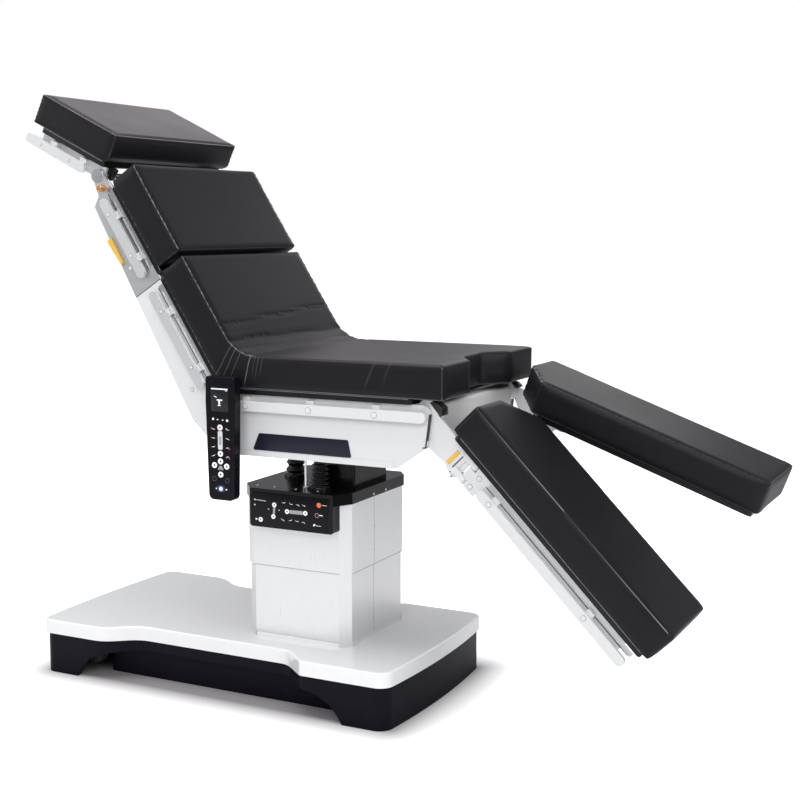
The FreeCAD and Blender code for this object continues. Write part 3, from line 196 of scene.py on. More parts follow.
def vinyl_finish(name, colour, folds=()):
    """Coated black cover with a fine grain and a painted highlight: a thin pale line where it turns an edge.
    """
    finish = Finish(name, colour, roughness=0.42, specular=0.19)
    clouds = finish.noise(6.0, 3.0)
    grain = finish.cells(620.0)
    flat, side, end = (finish.attribute(layer) for layer in ("rim_flat", "rim_side", "rim_end"))
    nearer, further = flat.maths("MINIMUM", side), flat.maths("MAXIMUM", side)
    second = nearer.maths("MAXIMUM", further.maths("MINIMUM", end))
    # Painted highlight: a thin pale line along the cover's edges, mottled by the clouds and fainter on the
    # upright corners.
    rim = ((0.26 - second) * 8.0).clipped()
    upright = 0.25 + ((1.0 - flat) * 2.0).clipped() * 0.75
    wear_and_highlight = rim * (0.25 + clouds * 0.9) * upright
    base = finish.between(clouds, colour, lighter(colour, 0.004))
    base = finish.between(wear_and_highlight.clipped(), base, (0.27, 0.255, 0.27))
    if folds:
        base = finish.between(pulled_lines(finish, folds), base, (0.16, 0.16, 0.175))
    finish.set("Base Color", base)
    finish.set("Roughness", 0.38 + clouds * 0.1)
    finish.bump(grain * 0.16 + finish.noise(240.0, 2.0) * 0.4, 0.0004, 0.45)
    return finish.material


def pulled_lines(finish, folds):
    """Fine pale lines on the cover's sides, fanning down from the fold."""
    axes = finish.node("ShaderNodeSeparateXYZ", None, {"Vector": finish.place})
    along = Flow(finish, axes.socket.node.outputs["X"])
    across = Flow(finish, axes.socket.node.outputs["Y"])
    drop = SEAT_TOP - Flow(finish, axes.socket.node.outputs["Z"])
    wander = (finish.noise(22.0, 2.0) - 0.5) * 0.006
    lines = None
    for place, lean, width, strength, length in folds:
        off = (along + drop * lean + wander - place).maths("ABSOLUTE")
        line = ((width - off) * (1 / width)).clipped() * ((length - drop) * 40.0).clipped() * strength
        lines = line if lines is None else lines.maths("MAXIMUM", line)
    on_the_side = ((across.maths("ABSOLUTE") - (PAD_HALF - 0.006)) * 400.0).clipped()
    return lines * on_the_side


def enamel_finish(name, colour, roughness=0.22, coat=0.6):
    """Sprayed enamel: a faint orange peel and a little soiling."""
    finish = Finish(name, colour, roughness=roughness, coat=coat, coat_roughness=0.08)
    soil = finish.noise(9.0, 4.0)
    finish.set("Base Color", finish.between(soil, colour, tuple(c * 0.965 for c in colour)))
    finish.set("Roughness", roughness - 0.04 + soil * 0.09)
    finish.bump(finish.noise(170.0, 2.0), 0.00012, 0.35)
    return finish.material


def brushed_finish(name, colour, along, roughness=0.3, metallic=1.0, strength=0.35):
    """Brushed metal: fine scratches that run along one axis."""
    finish = Finish(name, colour, roughness=roughness, metallic=metallic)
    stretch = [1.0, 1.0, 1.0]
    stretch["xyz".index(along)] = 0.012
    scratches = finish.noise(900.0, 3.0, 0.6, tuple(stretch))
    clouds = finish.noise(5.0, 2.0)
    wear_and_highlight = tuple(c * 0.96 for c in colour)
    finish.set("Base Color", finish.between(scratches, wear_and_highlight, lighter(colour, 0.02)))
    finish.set("Roughness", roughness - 0.05 + scratches * 0.12 + clouds * 0.05)
    finish.bump(scratches, 0.00008, strength)
    return finish.material


def moulded_finish(name, colour, roughness=0.45, grain=420.0, depth=0.00015, coat=0.0, specular=0.5):
    """Moulded plastic or rubber with an even fine texture."""
    finish = Finish(name, colour, roughness=roughness, coat=coat, coat_roughness=0.06, specular=specular)
    clouds = finish.noise(12.0, 3.0)
    finish.set("Base Color", finish.between(clouds, colour, lighter(colour, 0.003)))
    finish.set("Roughness", roughness - 0.04 + clouds * 0.1)
    finish.bump(finish.noise(grain, 2.0), depth, 0.4)
    return finish.material


def polished_finish(name, colour, roughness=0.08):
    finish = Finish(name, colour, roughness=roughness, metallic=1.0)
    smears = finish.noise(30.0, 3.0)
    finish.set("Roughness", roughness + smears * 0.06)
    finish.set("Base Color", finish.between(smears, colour, tuple(c * 0.9 for c in colour)))
    finish.bump(finish.noise(300.0, 2.0), 0.00004, 0.2)
    return finish.material


def glowing_mark_finish(name, colour, strength):
    """A printed mark behind clear film, with a faint painted glow in its own colour."""
    finish = Finish(name, colour, roughness=0.25, coat=0.5)
    haze = finish.noise(140.0, 2.0)
    finish.set("Base Color", finish.between(haze, colour, tuple(c * 0.92 for c in colour)))
    # Painted glow: emission in the mark's own colour, also on the seam and lip lines of the column's shells.
    finish.set("Emission Color", (*colour, 1.0))
    finish.set("Emission Strength", strength)
    return finish.material


vinyl = vinyl_finish("vinyl_black", (0.0068, 0.0060, 0.0082))
# Lines pulled in the mattress's sides: place, lean, width, strength, length
PULLED = (
    (-0.118, 0.62, 0.0022, 0.5, 0.080),
    (-0.100, 0.52, 0.0016, 0.7, 0.085),
    (-0.082, 0.44, 0.0016, 0.5, 0.080),
    (-0.050, 0.26, 0.0022, 1.0, 0.078),
    (-0.036, 0.20, 0.0012, 0.4, 0.055),
    (-0.026, 0.18, 0.0012, 0.5, 0.060),
    (-0.016, 0.15, 0.0014, 0.4, 0.050),
    (0.285, 0.40, 0.0050, 0.14, 0.070),
    (0.325, 0.35, 0.0050, 0.10, 0.060),
)
vinyl_folded = vinyl_finish("vinyl_folded", (0.0068, 0.0060, 0.0082), PULLED)
laminate = moulded_finish("board_laminate", (0.006, 0.006, 0.007), 0.3, 500.0, 0.0001, 0.0, 0.3)
enamel_white = enamel_finish("enamel_white", (0.92, 0.921, 0.923), 0.14, 0.8)
plate_white = enamel_finish("plate_white", (0.74, 0.741, 0.743), 0.3, 0.3)
frame_pale = enamel_finish("frame_pale", (0.66, 0.662, 0.665), 0.35, 0.2)
skirt_navy = moulded_finish("skirt_navy", (0.0032, 0.0032, 0.0080), 0.34, 200.0, 0.0001, 0.0, 0.10)
alloy_grey = brushed_finish("alloy_grey", (0.53, 0.54, 0.55), "x", 0.42, 0.75)
alloy_pale = brushed_finish("alloy_pale", (0.85, 0.852, 0.852), "x", 0.45, 0.35)
alloy_mid = brushed_finish("alloy_mid", (0.72, 0.722, 0.725), "x", 0.42, 0.5)
rail_steel = brushed_finish("rail_steel", (0.70, 0.702, 0.705), "x", 0.36, 0.6)
leg_alloy = brushed_finish("leg_alloy", (0.76, 0.761, 0.762), "x", 0.42, 0.35)
shell_steel = brushed_finish("shell_steel", (0.82, 0.822, 0.825), "z", 0.27, 0.55, 0.12)
frame_grey = enamel_finish("frame_grey", (0.50, 0.51, 0.52), 0.4, 0.1)
iron_dark = moulded_finish("iron_dark", (0.07, 0.07, 0.075), 0.6, 150.0, 0.0003)
enamel_black = moulded_finish("enamel_black", (0.016, 0.016, 0.018), 0.35, 300.0)
chrome = polished_finish("chrome", (0.80, 0.80, 0.82))
gaiter_rubber = moulded_finish("gaiter_rubber", (0.006, 0.006, 0.007), 0.2, 260.0, 0.0001, 0.3)
gloss_black = moulded_finish("gloss_black", (0.004, 0.004, 0.0045), 0.18, 120.0, 0.00004, 0.0, 0.2)
case_dark = moulded_finish("case_dark", (0.04, 0.04, 0.045), 0.5)
tyre_grey = moulded_finish("tyre_grey", (0.045, 0.045, 0.05), 0.6, 350.0, 0.0002)
fork_grey = enamel_finish("fork_grey", (0.28, 0.29, 0.31), 0.35, 0.2)
signal_yellow = moulded_finish("signal_yellow", (0.83, 0.50, 0.07), 0.4, 350.0, 0.0001, 0.2)
brass = polished_finish("brass", (0.78, 0.40, 0.16), 0.2)
handset_black = moulded_finish("handset_black", (0.0025, 0.002, 0.005), 0.28, 260.0, 0.00005, 0.0, 0.16)
plate_navy = moulded_finish("plate_navy", (0.010, 0.011, 0.024), 0.3, 300.0, 0.00004, 0.0, 0.25)
membrane_film = moulded_finish("membrane_film", (0.0025, 0.002, 0.005), 0.24, 300.0, 0.00004, 0.0, 0.16)
# Marks with a faint painted glow in their own colour
mark_white = glowing_mark_finish("mark_white", (0.85, 0.85, 0.86), 0.25)
mark_pink = glowing_mark_finish("mark_pink", (0.72, 0.42, 0.38), 0.1)
mark_orange = glowing_mark_finish("mark_orange", (0.80, 0.17, 0.035), 0.12)
mark_grey = glowing_mark_finish("mark_grey", (0.35, 0.36, 0.38), 0.05)
screen_dark = moulded_finish("screen_dark", (0.018, 0.018, 0.026), 0.12, 200.0, 0.00002, 0.5)
mark_pale = glowing_mark_finish("mark_pale", (0.62, 0.62, 0.64), 0.15)
mark_blue = glowing_mark_finish("mark_blue", (0.020, 0.045, 0.13), 0.04)
mark_dim = glowing_mark_finish("mark_dim", (0.10, 0.05, 0.055), 0.02)
screen_glass = moulded_finish("screen_glass", (0.014, 0.015, 0.017), 0.16, 200.0, 0.00002, 0.0, 0.25)
pin_metal = polished_finish("pin_metal", (0.72, 0.73, 0.74), 0.22)
pin_rim = moulded_finish("pin_rim", (0.30, 0.30, 0.31), 0.4)
pin_pale = enamel_finish("pin_pale", (0.78, 0.78, 0.785), 0.25, 0.2)
# Two greys of painted shade, for the strips above the rails
painted_shade_dark = polished_finish("painted_shade_dark", (0.46, 0.465, 0.465), 0.25)
painted_shade_mid = polished_finish("painted_shade_mid", (0.60, 0.605, 0.61), 0.3)
line_dark = moulded_finish("line_dark", (0.055, 0.056, 0.06), 0.5)
# Greys of painted highlight, for the lines along the boards' and plates' upper edges
painted_highlight_pale = moulded_finish("painted_highlight_pale", (0.30, 0.29, 0.30), 0.4)
painted_highlight_white = moulded_finish("painted_highlight_white", (0.88, 0.88, 0.88), 0.35)
hinge_black = moulded_finish("hinge_black", (0.015, 0.015, 0.016), 0.32, 260.0)

finish_of = {
    "base_top_plate": enamel_white,
    "base_skirt": skirt_navy,
    "chassis_tub": skirt_navy,
    "fixed_mast": iron_dark,
    "moving_mast": frame_grey,
    "lift_cylinder_barrel": enamel_black,
    "pump_unit": enamel_black,
    "battery_pack": case_dark,
    "column_lower_shell": shell_steel,
    "column_upper_shell": shell_steel,
    "column_inner_sleeve": shell_steel,
    "castor_beams": enamel_black,
    "lift_piston_rod": chrome,
    "column_cap": gloss_black,
    "trunnion_post": chrome,
    "trunnion_cover": gloss_black,
    "tilt_cylinder_barrels": enamel_black,
    "roll_rod": chrome,
    "pitch_rod": chrome,
    "cardan_cross": frame_grey,
    "tilt_saddle": frame_grey,
    "seat_chassis": frame_pale,
    "seat_side_plates": plate_white,
    "seat_board": laminate,
    "seat_rails": plate_white,
    "handset": handset_black,
    "lower_back_side_plates": alloy_pale,
    "upper_back_side_plates": alloy_grey,
    "back_boards": laminate,
    "back_rails": rail_steel,
    "back_cross_members": frame_grey,
    "release_lever": signal_yellow,
    "head_frame": alloy_mid,
    "head_board": laminate,
    "head_hinge_pins": chrome,
    "release_knob": brass,
}
for hand in ("near", "far"):
    finish_of[f"{hand}_leg_housing"] = plate_white
    finish_of[f"{hand}_leg_frame"] = leg_alloy
    finish_of[f"{hand}_leg_board"] = laminate
    finish_of[f"{hand}_leg_button"] = signal_yellow
    for end in ("head", "leg"):
        finish_of[f"castor_fork_{end}_{hand}"] = fork_grey
        finish_of[f"castor_wheels_{end}_{hand}"] = tyre_grey
for name, material in finish_of.items():
    nodes[name].data.materials.clear()
    nodes[name].data.materials.append(material)


# Modelling helpers

def choose(*objects):
    """Leaves only these objects selected, the last one active."""
    for other in bpy.context.selected_objects:
        other.select_set(False)
    for item in objects:
        item.select_set(True)
    bpy.context.view_layer.objects.active = objects[-1]


def edit(item, mode="VERT"):
    choose(item)
    bpy.ops.object.mode_set(mode="EDIT")
    bpy.ops.mesh.select_mode(type=mode)
    bpy.ops.mesh.select_all(action="DESELECT")


def leave_edit():
    bpy.ops.object.mode_set(mode="OBJECT")


def pick_faces(item, test):
    """Selects the faces that the test on centre and normal picks, with edit mode left and entered again."""
    bpy.ops.object.mode_set(mode="OBJECT")
    for face in item.data.polygons:
        face.select = test(face.center, face.normal)
    bpy.ops.object.mode_set(mode="EDIT")


def settle(item):
    """Puts the object's place into its mesh."""
    choose(item)
    bpy.ops.object.transform_apply(location=True, rotation=True, scale=True)


def apply_modifiers(item):
    choose(item)
    for modifier in list(item.modifiers):
        bpy.ops.object.modifier_apply(modifier=modifier.name)


def put(item, matrix):
    item.data.transform(matrix)
    if matrix.determinant() < 0:
        item.data.flip_normals()
    item.data.update()


def block(name, low, high):
    """A block between two corners."""
    low, high = Vector(low), Vector(high)
    bpy.ops.mesh.primitive_cube_add(size=1, location=(low + high) / 2)
    item = bpy.context.object
    item.name = name
    item.scale = high - low
    settle(item)
    return item


def outward_matrix(spot, outward):
    """Stands something that faces +Z on a spot, facing outward."""
    return Matrix.Translation(spot) @ Vector(outward).to_track_quat("Z", "Y").to_matrix().to_4x4()


def sheet_plate(name, outline, thick, bevel=0.0006):
    """A thin plate cut to an outline in its own X and Y, its back on Z = 0."""
    curve = bpy.data.curves.new(name, "CURVE")
    curve.dimensions = "2D"
    curve.fill_mode = "BOTH"
    line = curve.splines.new("POLY")
    line.points.add(len(outline) - 1)
    for point, (a, b) in zip(line.points, outline):
        point.co = (a, b, 0, 1)
    line.use_cyclic_u = True
    curve.extrude = thick / 2
    item = bpy.data.objects.new(name, curve)
    scene.collection.objects.link(item)
    choose(item)
    bpy.ops.object.convert(target="MESH")
    item = bpy.context.object
    item.data.transform(Matrix.Translation((0, 0, thick / 2)))
    edit(item)
    bpy.ops.mesh.select_all(action="SELECT")
    bpy.ops.mesh.remove_doubles(threshold=0.00001)
    bpy.ops.mesh.dissolve_limited(angle_limit=0.01)
    bpy.ops.mesh.normals_make_consistent(inside=False)
    leave_edit()
    if bevel:
        rounding = item.modifiers.new("edges", "BEVEL")
        rounding.width = bevel
        rounding.segments = 2
        rounding.limit_method = "ANGLE"
        rounding.angle_limit = math.radians(40)
        apply_modifiers(item)
    return item


def rounded_outline(corners, radius, steps=5):
    """An outline whose corners are arcs."""
    outline = []
    for index, corner in enumerate(corners):
        here = Vector(corner)
        back = (Vector(corners[index - 1]) - here).normalized()
        ahead = (Vector(corners[(index + 1) % len(corners)]) - here).normalized()
        half = back.angle(ahead) / 2
        reach = radius / math.tan(half)
        centre = here + (back + ahead).normalized() * radius / math.sin(half)
        first = here + back * reach - centre
        last = here + ahead * reach - centre
        sweep = first.angle_signed(last)
        for step in range(steps + 1):
            turned = Matrix.Rotation(-sweep * step / steps, 2) @ first
            outline.append(tuple(centre + turned))
    return outline


def button_head(name, radius, height, dimple=0.5, segments=28):
    """A low screw or push head: a disc with a softened rim and a sunk middle."""
    middle = (0, 0, height / 2)
    bpy.ops.mesh.primitive_cylinder_add(vertices=segments, radius=radius, depth=height, location=middle)
    item = bpy.context.object
    item.name = name
    settle(item)
    edit(item, "FACE")
    pick_faces(item, lambda centre, normal: normal.z > 0.9)
    bpy.ops.mesh.inset(thickness=radius * 0.14)
    bpy.ops.transform.translate(value=(0, 0, height * 0.25))
    bpy.ops.mesh.inset(thickness=radius * (1 - 0.14 - dimple))
    bpy.ops.mesh.inset(thickness=radius * 0.05)
    bpy.ops.transform.translate(value=(0, 0, -height * 0.55))
    leave_edit()
    return item


def ring(name, radius, wire):
    sides = {"major_segments": 28, "minor_segments": 8}
    bpy.ops.mesh.primitive_torus_add(major_radius=radius, minor_radius=wire, **sides)
    item = bpy.context.object
    item.name = name
    settle(item)
    return item


def copies(item, places):
    """One modelled piece set at several places, as one object."""
    made = []
    for matrix in places:
        twin = item.copy()
        twin.data = item.data.copy()
        scene.collection.objects.link(twin)
        put(twin, matrix)
        made.append(twin)
    name = item.name
    bpy.data.objects.remove(item)
    return join(name, made)


def join(name, items):
    choose(*items)
    if len(items) > 1:
        bpy.ops.object.join()
    item = bpy.context.object
    item.name = name
    item.data.name = name
    return item


def finish(item, material, body, slot, smooth=35, replaced=()):
    """Gives a piece its material, its shading and its body; the slot is not used."""
    if material is not None:
        item.data.materials.clear()
        item.data.materials.append(material)
    choose(item)
    bpy.ops.object.shade_smooth_by_angle(angle=math.radians(smooth))
    if body:
        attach(item, body)
    if replaced:
        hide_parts(*replaced)
    return item


# Pads

def segment_gap(points, start, end):
    """How far points in a plane lie from a straight line between two others."""
    start = numpy.array(start)
    run = numpy.array(end) - start
    share = ((points - start) @ run / (run @ run)).clip(0, 1)
    return numpy.linalg.norm(points - start - share[:, None] * run, axis=1)


def chain_gap(points, chain):
    return numpy.min([segment_gap(points, a, b) for a, b in zip(chain, chain[1:])], axis=0)


def note_edges(item, matrix, sides, ends, levels):
    """Keeps with each point how far it is from the pad's sides, ends and flat faces, in centimetres.

    An edge is where two of those meet, so the second nearest of the three says how close it is.
    """
    mesh = item.data
    spots = numpy.empty(len(mesh.vertices) * 3)
    mesh.vertices.foreach_get("co", spots)
    turn = numpy.array(matrix.inverted())
    spots = spots.reshape(-1, 3) @ turn[:3, :3].T + turn[:3, 3]
    plan = spots[:, (0, 1)]
    profile = spots[:, (0, 2)]
    kinds = (("rim_side", plan, sides), ("rim_end", plan, ends), ("rim_flat", profile, levels))
    for name, flat, lines in kinds:
        gap = numpy.min([chain_gap(flat, line) for line in lines], axis=0)
        layer = mesh.attributes.new(name, "FLOAT", "POINT")
        layer.data.foreach_set("value", (gap * 100).clip(0, 4))


def even_mesh(item, voxel=0.005):
    """Gives a firm block an even mesh with its edges just softened."""
    choose(item)
    remesh = item.modifiers.new("skin", "REMESH")
    remesh.mode = "VOXEL"
    remesh.voxel_size = voxel
    bpy.ops.object.modifier_apply(modifier="skin")
    edit(item)
    bpy.ops.mesh.select_all(action="SELECT")
    bpy.ops.mesh.vertices_smooth(factor=0.5, repeat=1)
    leave_edit()


def swell(item, matrix, floor, pressure=3.0, cap=0.0018):
    """Turns the block into an upholstered pad: cloth under a little pressure, flat where it is carried."""
    start = [vertex.co.copy() for vertex in item.data.vertices]
    cloth = item.modifiers.new("cover", "CLOTH")
    cloth.settings.use_pressure = True
    cloth.settings.uniform_pressure_force = pressure
    cloth.settings.effector_weights.gravity = 0
    cloth.settings.tension_stiffness = 40
    cloth.settings.compression_stiffness = 40
    cloth.settings.bending_stiffness = 8
    cloth.settings.quality = 4
    cloth.collision_settings.use_collision = False
    cloth.point_cache.frame_start = 1
    cloth.point_cache.frame_end = 12
    for number in range(1, 10):
        scene.frame_set(number)
    choose(item)
    bpy.ops.object.modifier_apply(modifier="cover")
    scene.frame_set(1)
    inverse = matrix.inverted()
    for vertex, spot in zip(item.data.vertices, start):
        move = vertex.co - spot
        if move.length > cap:
            vertex.co = spot + move.normalized() * cap
        local = inverse @ vertex.co
        if local.z < floor:
            local.z = floor
            vertex.co = matrix @ local
    item.data.update()


def free_copy(node, name):
    """A copy of a CAD solid for a soft piece that stands for it."""
    item = nodes[node].copy()
    item.data = item.data.copy()
    item.parent = None
    for key in list(item.keys()):
        del item[key]
    item.name = name
    item.data.name = name
    scene.collection.objects.link(item)
    edit(item)
    bpy.ops.mesh.select_all(action="SELECT")
    bpy.ops.mesh.remove_doubles(threshold=0.00005)
    bpy.ops.mesh.normals_make_consistent(inside=False)
    leave_edit()
    return item


def pad_from_node(node, name, matrix, level, body, sides, ends):
    """A pad in the space of its CAD solid, from its underside's level and its plan."""
    item = free_copy(node, name)
    low, high = level
    even_mesh(item)
    note_edges(item, matrix, sides, ends, [[(-0.1, high), (0.8, high)], [(-0.1, low), (0.8, low)]])
    swell(item, matrix, low)
    finish(item, vinyl, body, "vinyl", 60, (node,))
    return item


def oblong(start, end, half):
    """The sides and the ends of a plain pad seen from above."""
    sides = [[(start, side * half), (end, side * half)] for side in (-1, 1)]
    return sides, [[(u, -half), (u, half)] for u in (start, end)]


def leg_plan(side):
    """A leg pad from above: its inner corner at the seat is cut off."""
    corners = [(0.728, side * 0.006), (0.150, side * 0.006), (0.074, side * 0.130), (0.074, side * PAD_HALF)]
    outer = [corners[3], (0.728, side * PAD_HALF)]
    return [corners[:2], outer], [corners[1:3], corners[2:], [outer[1], corners[0]]]


BACK_LEVEL = (0.059, 0.139)
HEAD_LEVEL = (0.041, 0.119)
LEG_LEVEL = (0.030, 0.110)
back_plan = oblong(0.372, 0.624, PAD_HALF)
head_plan = oblong(-0.022, 0.234, HEAD_PAD_HALF)
pad_from_node("upper_back_pad", "upper_back_cushion", BACK, BACK_LEVEL, "back", *back_plan)
pad_from_node("head_pad", "head_cushion", HEAD, HEAD_LEVEL, "head", *head_plan)
pad_from_node("near_leg_pad", "near_leg_cushion", NEAR_LEG, LEG_LEVEL, "near_leg", *leg_plan(-1))
pad_from_node("far_leg_pad", "far_leg_cushion", FAR_LEG, LEG_LEVEL, "far_leg", *leg_plan(1))


# Gaiters that stand on the cap, copied from the CAD's bellows
for drive in ("roll", "pitch"):
    gaiter = free_copy(drive + "_bellows", drive + "_gaiter")
    finish(gaiter, gaiter_rubber, None, "bellows_rubber", 35, (drive + "_bellows",))
    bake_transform(gaiter)

SEAT_FRONT = 0.456
BACK_END = 0.358
slope = Vector((-math.cos(BACK_ANGLE), math.sin(BACK_ANGLE)))


def fold_arc(corner, radius, steps):
    """The round of the fold from the seat's line to the back's."""
    reach = radius * math.tan(BACK_ANGLE / 2)
    centre = corner + Vector((reach, radius))
    points = []
    for step in range(steps + 1):
        angle = -math.pi / 2 - BACK_ANGLE * step / steps
        points.append((centre.x + radius * math.cos(angle), centre.y + radius * math.sin(angle)))
    return points


def fold_line(depth, level, radius, steps):
    """A line of the mattress seen from the side: along the seat, round the fold and up the back."""
    far = BACK @ Vector((BACK_END, 0, depth))
    reach = (far.z - level) / slope.y
    corner = Vector((far.x - slope.x * reach, level))
    return [(SEAT_FRONT, level)] + fold_arc(corner, radius, steps) + [(far.x, far.z)]


def mattress():
    """Seat and lower back in one cover that folds at the hinge, with a cut-out at the front."""
    top = fold_line(0.139, SEAT_TOP, 0.105, 12)
    under = fold_line(0.059, SEAT_TOP - PAD_THICK, 0.05, 8)
    half = PAD_HALF
    item = sheet_plate("seat_mattress_cover", top + under[::-1], 2 * half, 0)
    put(item, Matrix.Translation((0, half, 0)) @ Matrix.Rotation(math.pi / 2, 4, "X"))
    notch = [(SEAT_FRONT, 0.120), (0.408, 0.048), (0.408, -0.048), (SEAT_FRONT, -0.120)]
    cutter = sheet_plate("notch_cutter", [(0.48, 0.122)] + notch + [(0.48, -0.122)], 0.2, 0)
    put(cutter, Matrix.Translation((0, 0, 0.74)))
    trim = item.modifiers.new("notch", "BOOLEAN")
    trim.operation = "DIFFERENCE"
    trim.object = cutter
    choose(item)
    bpy.ops.object.modifier_apply(modifier="notch")
    bpy.data.objects.remove(cutter)
    even_mesh(item)
    sides = [[(-0.6, side * PAD_HALF), (SEAT_FRONT, side * PAD_HALF)] for side in (-1, 1)]
    front = [(SEAT_FRONT, PAD_HALF)] + notch + [(SEAT_FRONT, -PAD_HALF)]
    note_edges(item, TABLE, sides, [front], [top, under])
    swell(item, TABLE, -1.0, pressure=2.5)
    pull_creases(item)
    finish(item, vinyl_folded, None, "vinyl", 60, ("seat_mattress", "lower_back_mattress"))
    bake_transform(item)
    return item


# Creases across the fold: place along the table at the near and far edge, width and depth
FOLD_CREASES = (
    (-0.062, -0.050, 0.0045, 0.0034),
    (-0.088, -0.078, 0.0035, 0.0020),
    (-0.112, -0.104, 0.0050, 0.0026),
    (-0.040, -0.018, 0.0060, 0.0012),
    (-0.135, -0.150, 0.0040, 0.0016),
)


def crease_depth(x, y):
    depth = 0.0
    share = (y + PAD_HALF) / (2 * PAD_HALF)
    for near, far, width, deep in FOLD_CREASES:
        middle = near + (far - near) * share + 0.0015 * math.sin(31 * y + near * 90)
        depth += deep * math.exp(-((x - middle) / width) ** 2)
    return depth


def pull_creases(item):
    """Sinks the cross creases of the fold."""
    for vertex in item.data.vertices:
        spot = vertex.co
        if vertex.normal.z > 0.5 and -0.17 < spot.x < 0.02 and spot.z > 0.84:
            vertex.co = spot - vertex.normal * crease_depth(spot.x, spot.y)
    item.data.update()


mattress()


# Small fittings, set on the side faces of the sections

def on_side(section, face, side=-1):
    """Stands a flat piece, drawn along and out of a section, on the section's near or far face."""
    rows = ((1, 0, 0, 0), (0, 0, side, side * face), (0, 1, 0, 0), (0, 0, 0, 1))
    return section @ Matrix(rows)


def at(section, face, spots, side=-1):
    """Places for copies of a small round piece on a side face."""
    return [on_side(section, face, side) @ Matrix.Translation((a, b, 0)) for a, b in spots]


def both(section, face, spots):
    return at(section, face, spots, -1) + at(section, face, spots, 1)


def ring_screws(name, places, body, radius=0.0062):
    """Flush pins seen as a fine grey ring round a dimpled pale head."""
    rims = copies(button_head(name + "_rims", radius, 0.0005, 0.62), places)
    finish(rims, pin_rim, body, "rail_steel")
    middles = copies(button_head(name, radius - 0.0012, 0.0009, 0.40), places)
    finish(middles, pin_pale, body, "rail_steel")


def heads(name, radius, height, places, material, body, segments=16, slot="rail_steel"):
    """Small round heads at several places, as one piece."""
    head = button_head(name, radius, height, 0.5, segments)
    return finish(copies(head, places), material, body, slot)


def strip(name, section, face, outline, thick, material, body, slot, side=-1, bevel=0.0003):
    item = sheet_plate(name, outline, thick, bevel)
    put(item, on_side(section, face, side))
    return finish(item, material, body, slot)


def bar(start, end, width):
    """The outline of a thin bar between two points."""
    start, end = Vector(start), Vector(end)
    side = (end - start).normalized().orthogonal() * width / 2
    return [tuple(start - side), tuple(end - side), tuple(end + side), tuple(start + side)]


# Pins and screws of the rails and plates
seat_rail_spots = [(-0.068, 0.752), (0.108, 0.752), (0.283, 0.752)]
ring_screws("seat_rail_pins", both(TABLE, RAIL_FACE, seat_rail_spots), "seat", 0.0078)
ring_screws("head_rail_pins", both(HEAD, RAIL_FACE, [(0.182, 0.0025), (0.083, 0.0025)]), "head", 0.0040)
back_rail_spots = [(0.5596, 0.0055), (0.4388, 0.0065), (0.2763, 0.0085), (0.1168, 0.0095)]
ring_screws("back_rail_pins", both(BACK, RAIL_FACE, back_rail_spots), "back", 0.0052)
ring_screws("back_plate_pins", both(BACK, PLATE_FACE, [(0.421, -0.023), (0.0745, -0.031)]), "back", 0.0060)
for hand, side, section in (("near", -1, NEAR_LEG), ("far", 1, FAR_LEG)):
    leg = hand + "_leg"
    plate_pins = at(section, PLATE_FACE, [(0.194, -0.004), (0.1925, -0.034)], side)
    rail_pins = at(section, RAIL_FACE, [(0.2532, -0.0190), (0.5740, -0.0190)], side)
    ring_screws(leg + "_pins", plate_pins + rail_pins, leg, 0.0066)
    arm = hand + "_leg_arm"
    slot = rounded_outline([(0.1296, -0.041), (0.1326, -0.041), (0.1326, -0.003), (0.1296, -0.003)], 0.0014)
    strip(hand + "_arm_slot", section, ARM_FACE, slot, 0.0005, line_dark, arm, "black_paint", side, 0)
    hole_spots = [(0.135, -0.0525), (0.1425, -0.041), (0.1445, -0.0575), (0.1495, -0.036)]
    holes = at(section, ARM_FACE, hole_spots, side)
    heads(hand + "_arm_holes", 0.0016, 0.0005, holes, line_dark, arm, slot="black_paint")
    seam = bar((0.1435, -0.0605), (0.1435, 0.0140), 0.0012)
    strip(hand + "_arm_seam", section, ARM_FACE, seam, 0.0004, mark_grey, arm, "white_paint", side, 0)
    # Hub inside the drum, and the rubber cover over the hinge, which the seat's pad presses flat
    hub_cap = button_head(hand + "_hub_cap", 0.015, 0.003, 0.6, 32)
    finish(copies(hub_cap, at(section, -0.206, [(0, 0)], -side)), pin_metal, arm, "rail_steel")
    crest = 0.0335 if side < 0 else 0.028
    cover_outline = [(-0.012, 0.019), (0.016, 0.0165), (0.029, 0.0165)]
    cover_outline += [(0.032, 0.022), (0.018, crest), (-0.006, crest - 0.003)]
    cover = sheet_plate(hand + "_hinge_cover", cover_outline, 0.034, 0.002)
    put(cover, on_side(section, 0.214, side))
    finish(cover, hinge_black, arm, "black_paint")
    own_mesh(cover)
    # Painted shade: a darker strip on the plate between the rail's upper edge and the plate's top edge.
    shade_strip = [(0.222, -0.0025), (0.700, -0.0025), (0.700, 0.0095), (0.222, 0.0095)]
    strip(leg + "_channel", section, PLATE_FACE, shade_strip, 0.0005, painted_shade_mid, leg, "grey_alloy", side, 0)
    # Painted shadow: a dark line on the plate along the rail's upper edge.
    rail_shadow_line = bar((0.2185, -0.0040), (0.6950, -0.0040), 0.0022)
    strip(leg + "_rail_shadow_line", section, LINE_FACE, rail_shadow_line, 0.0006, line_dark, leg, "black_paint", side, 0)
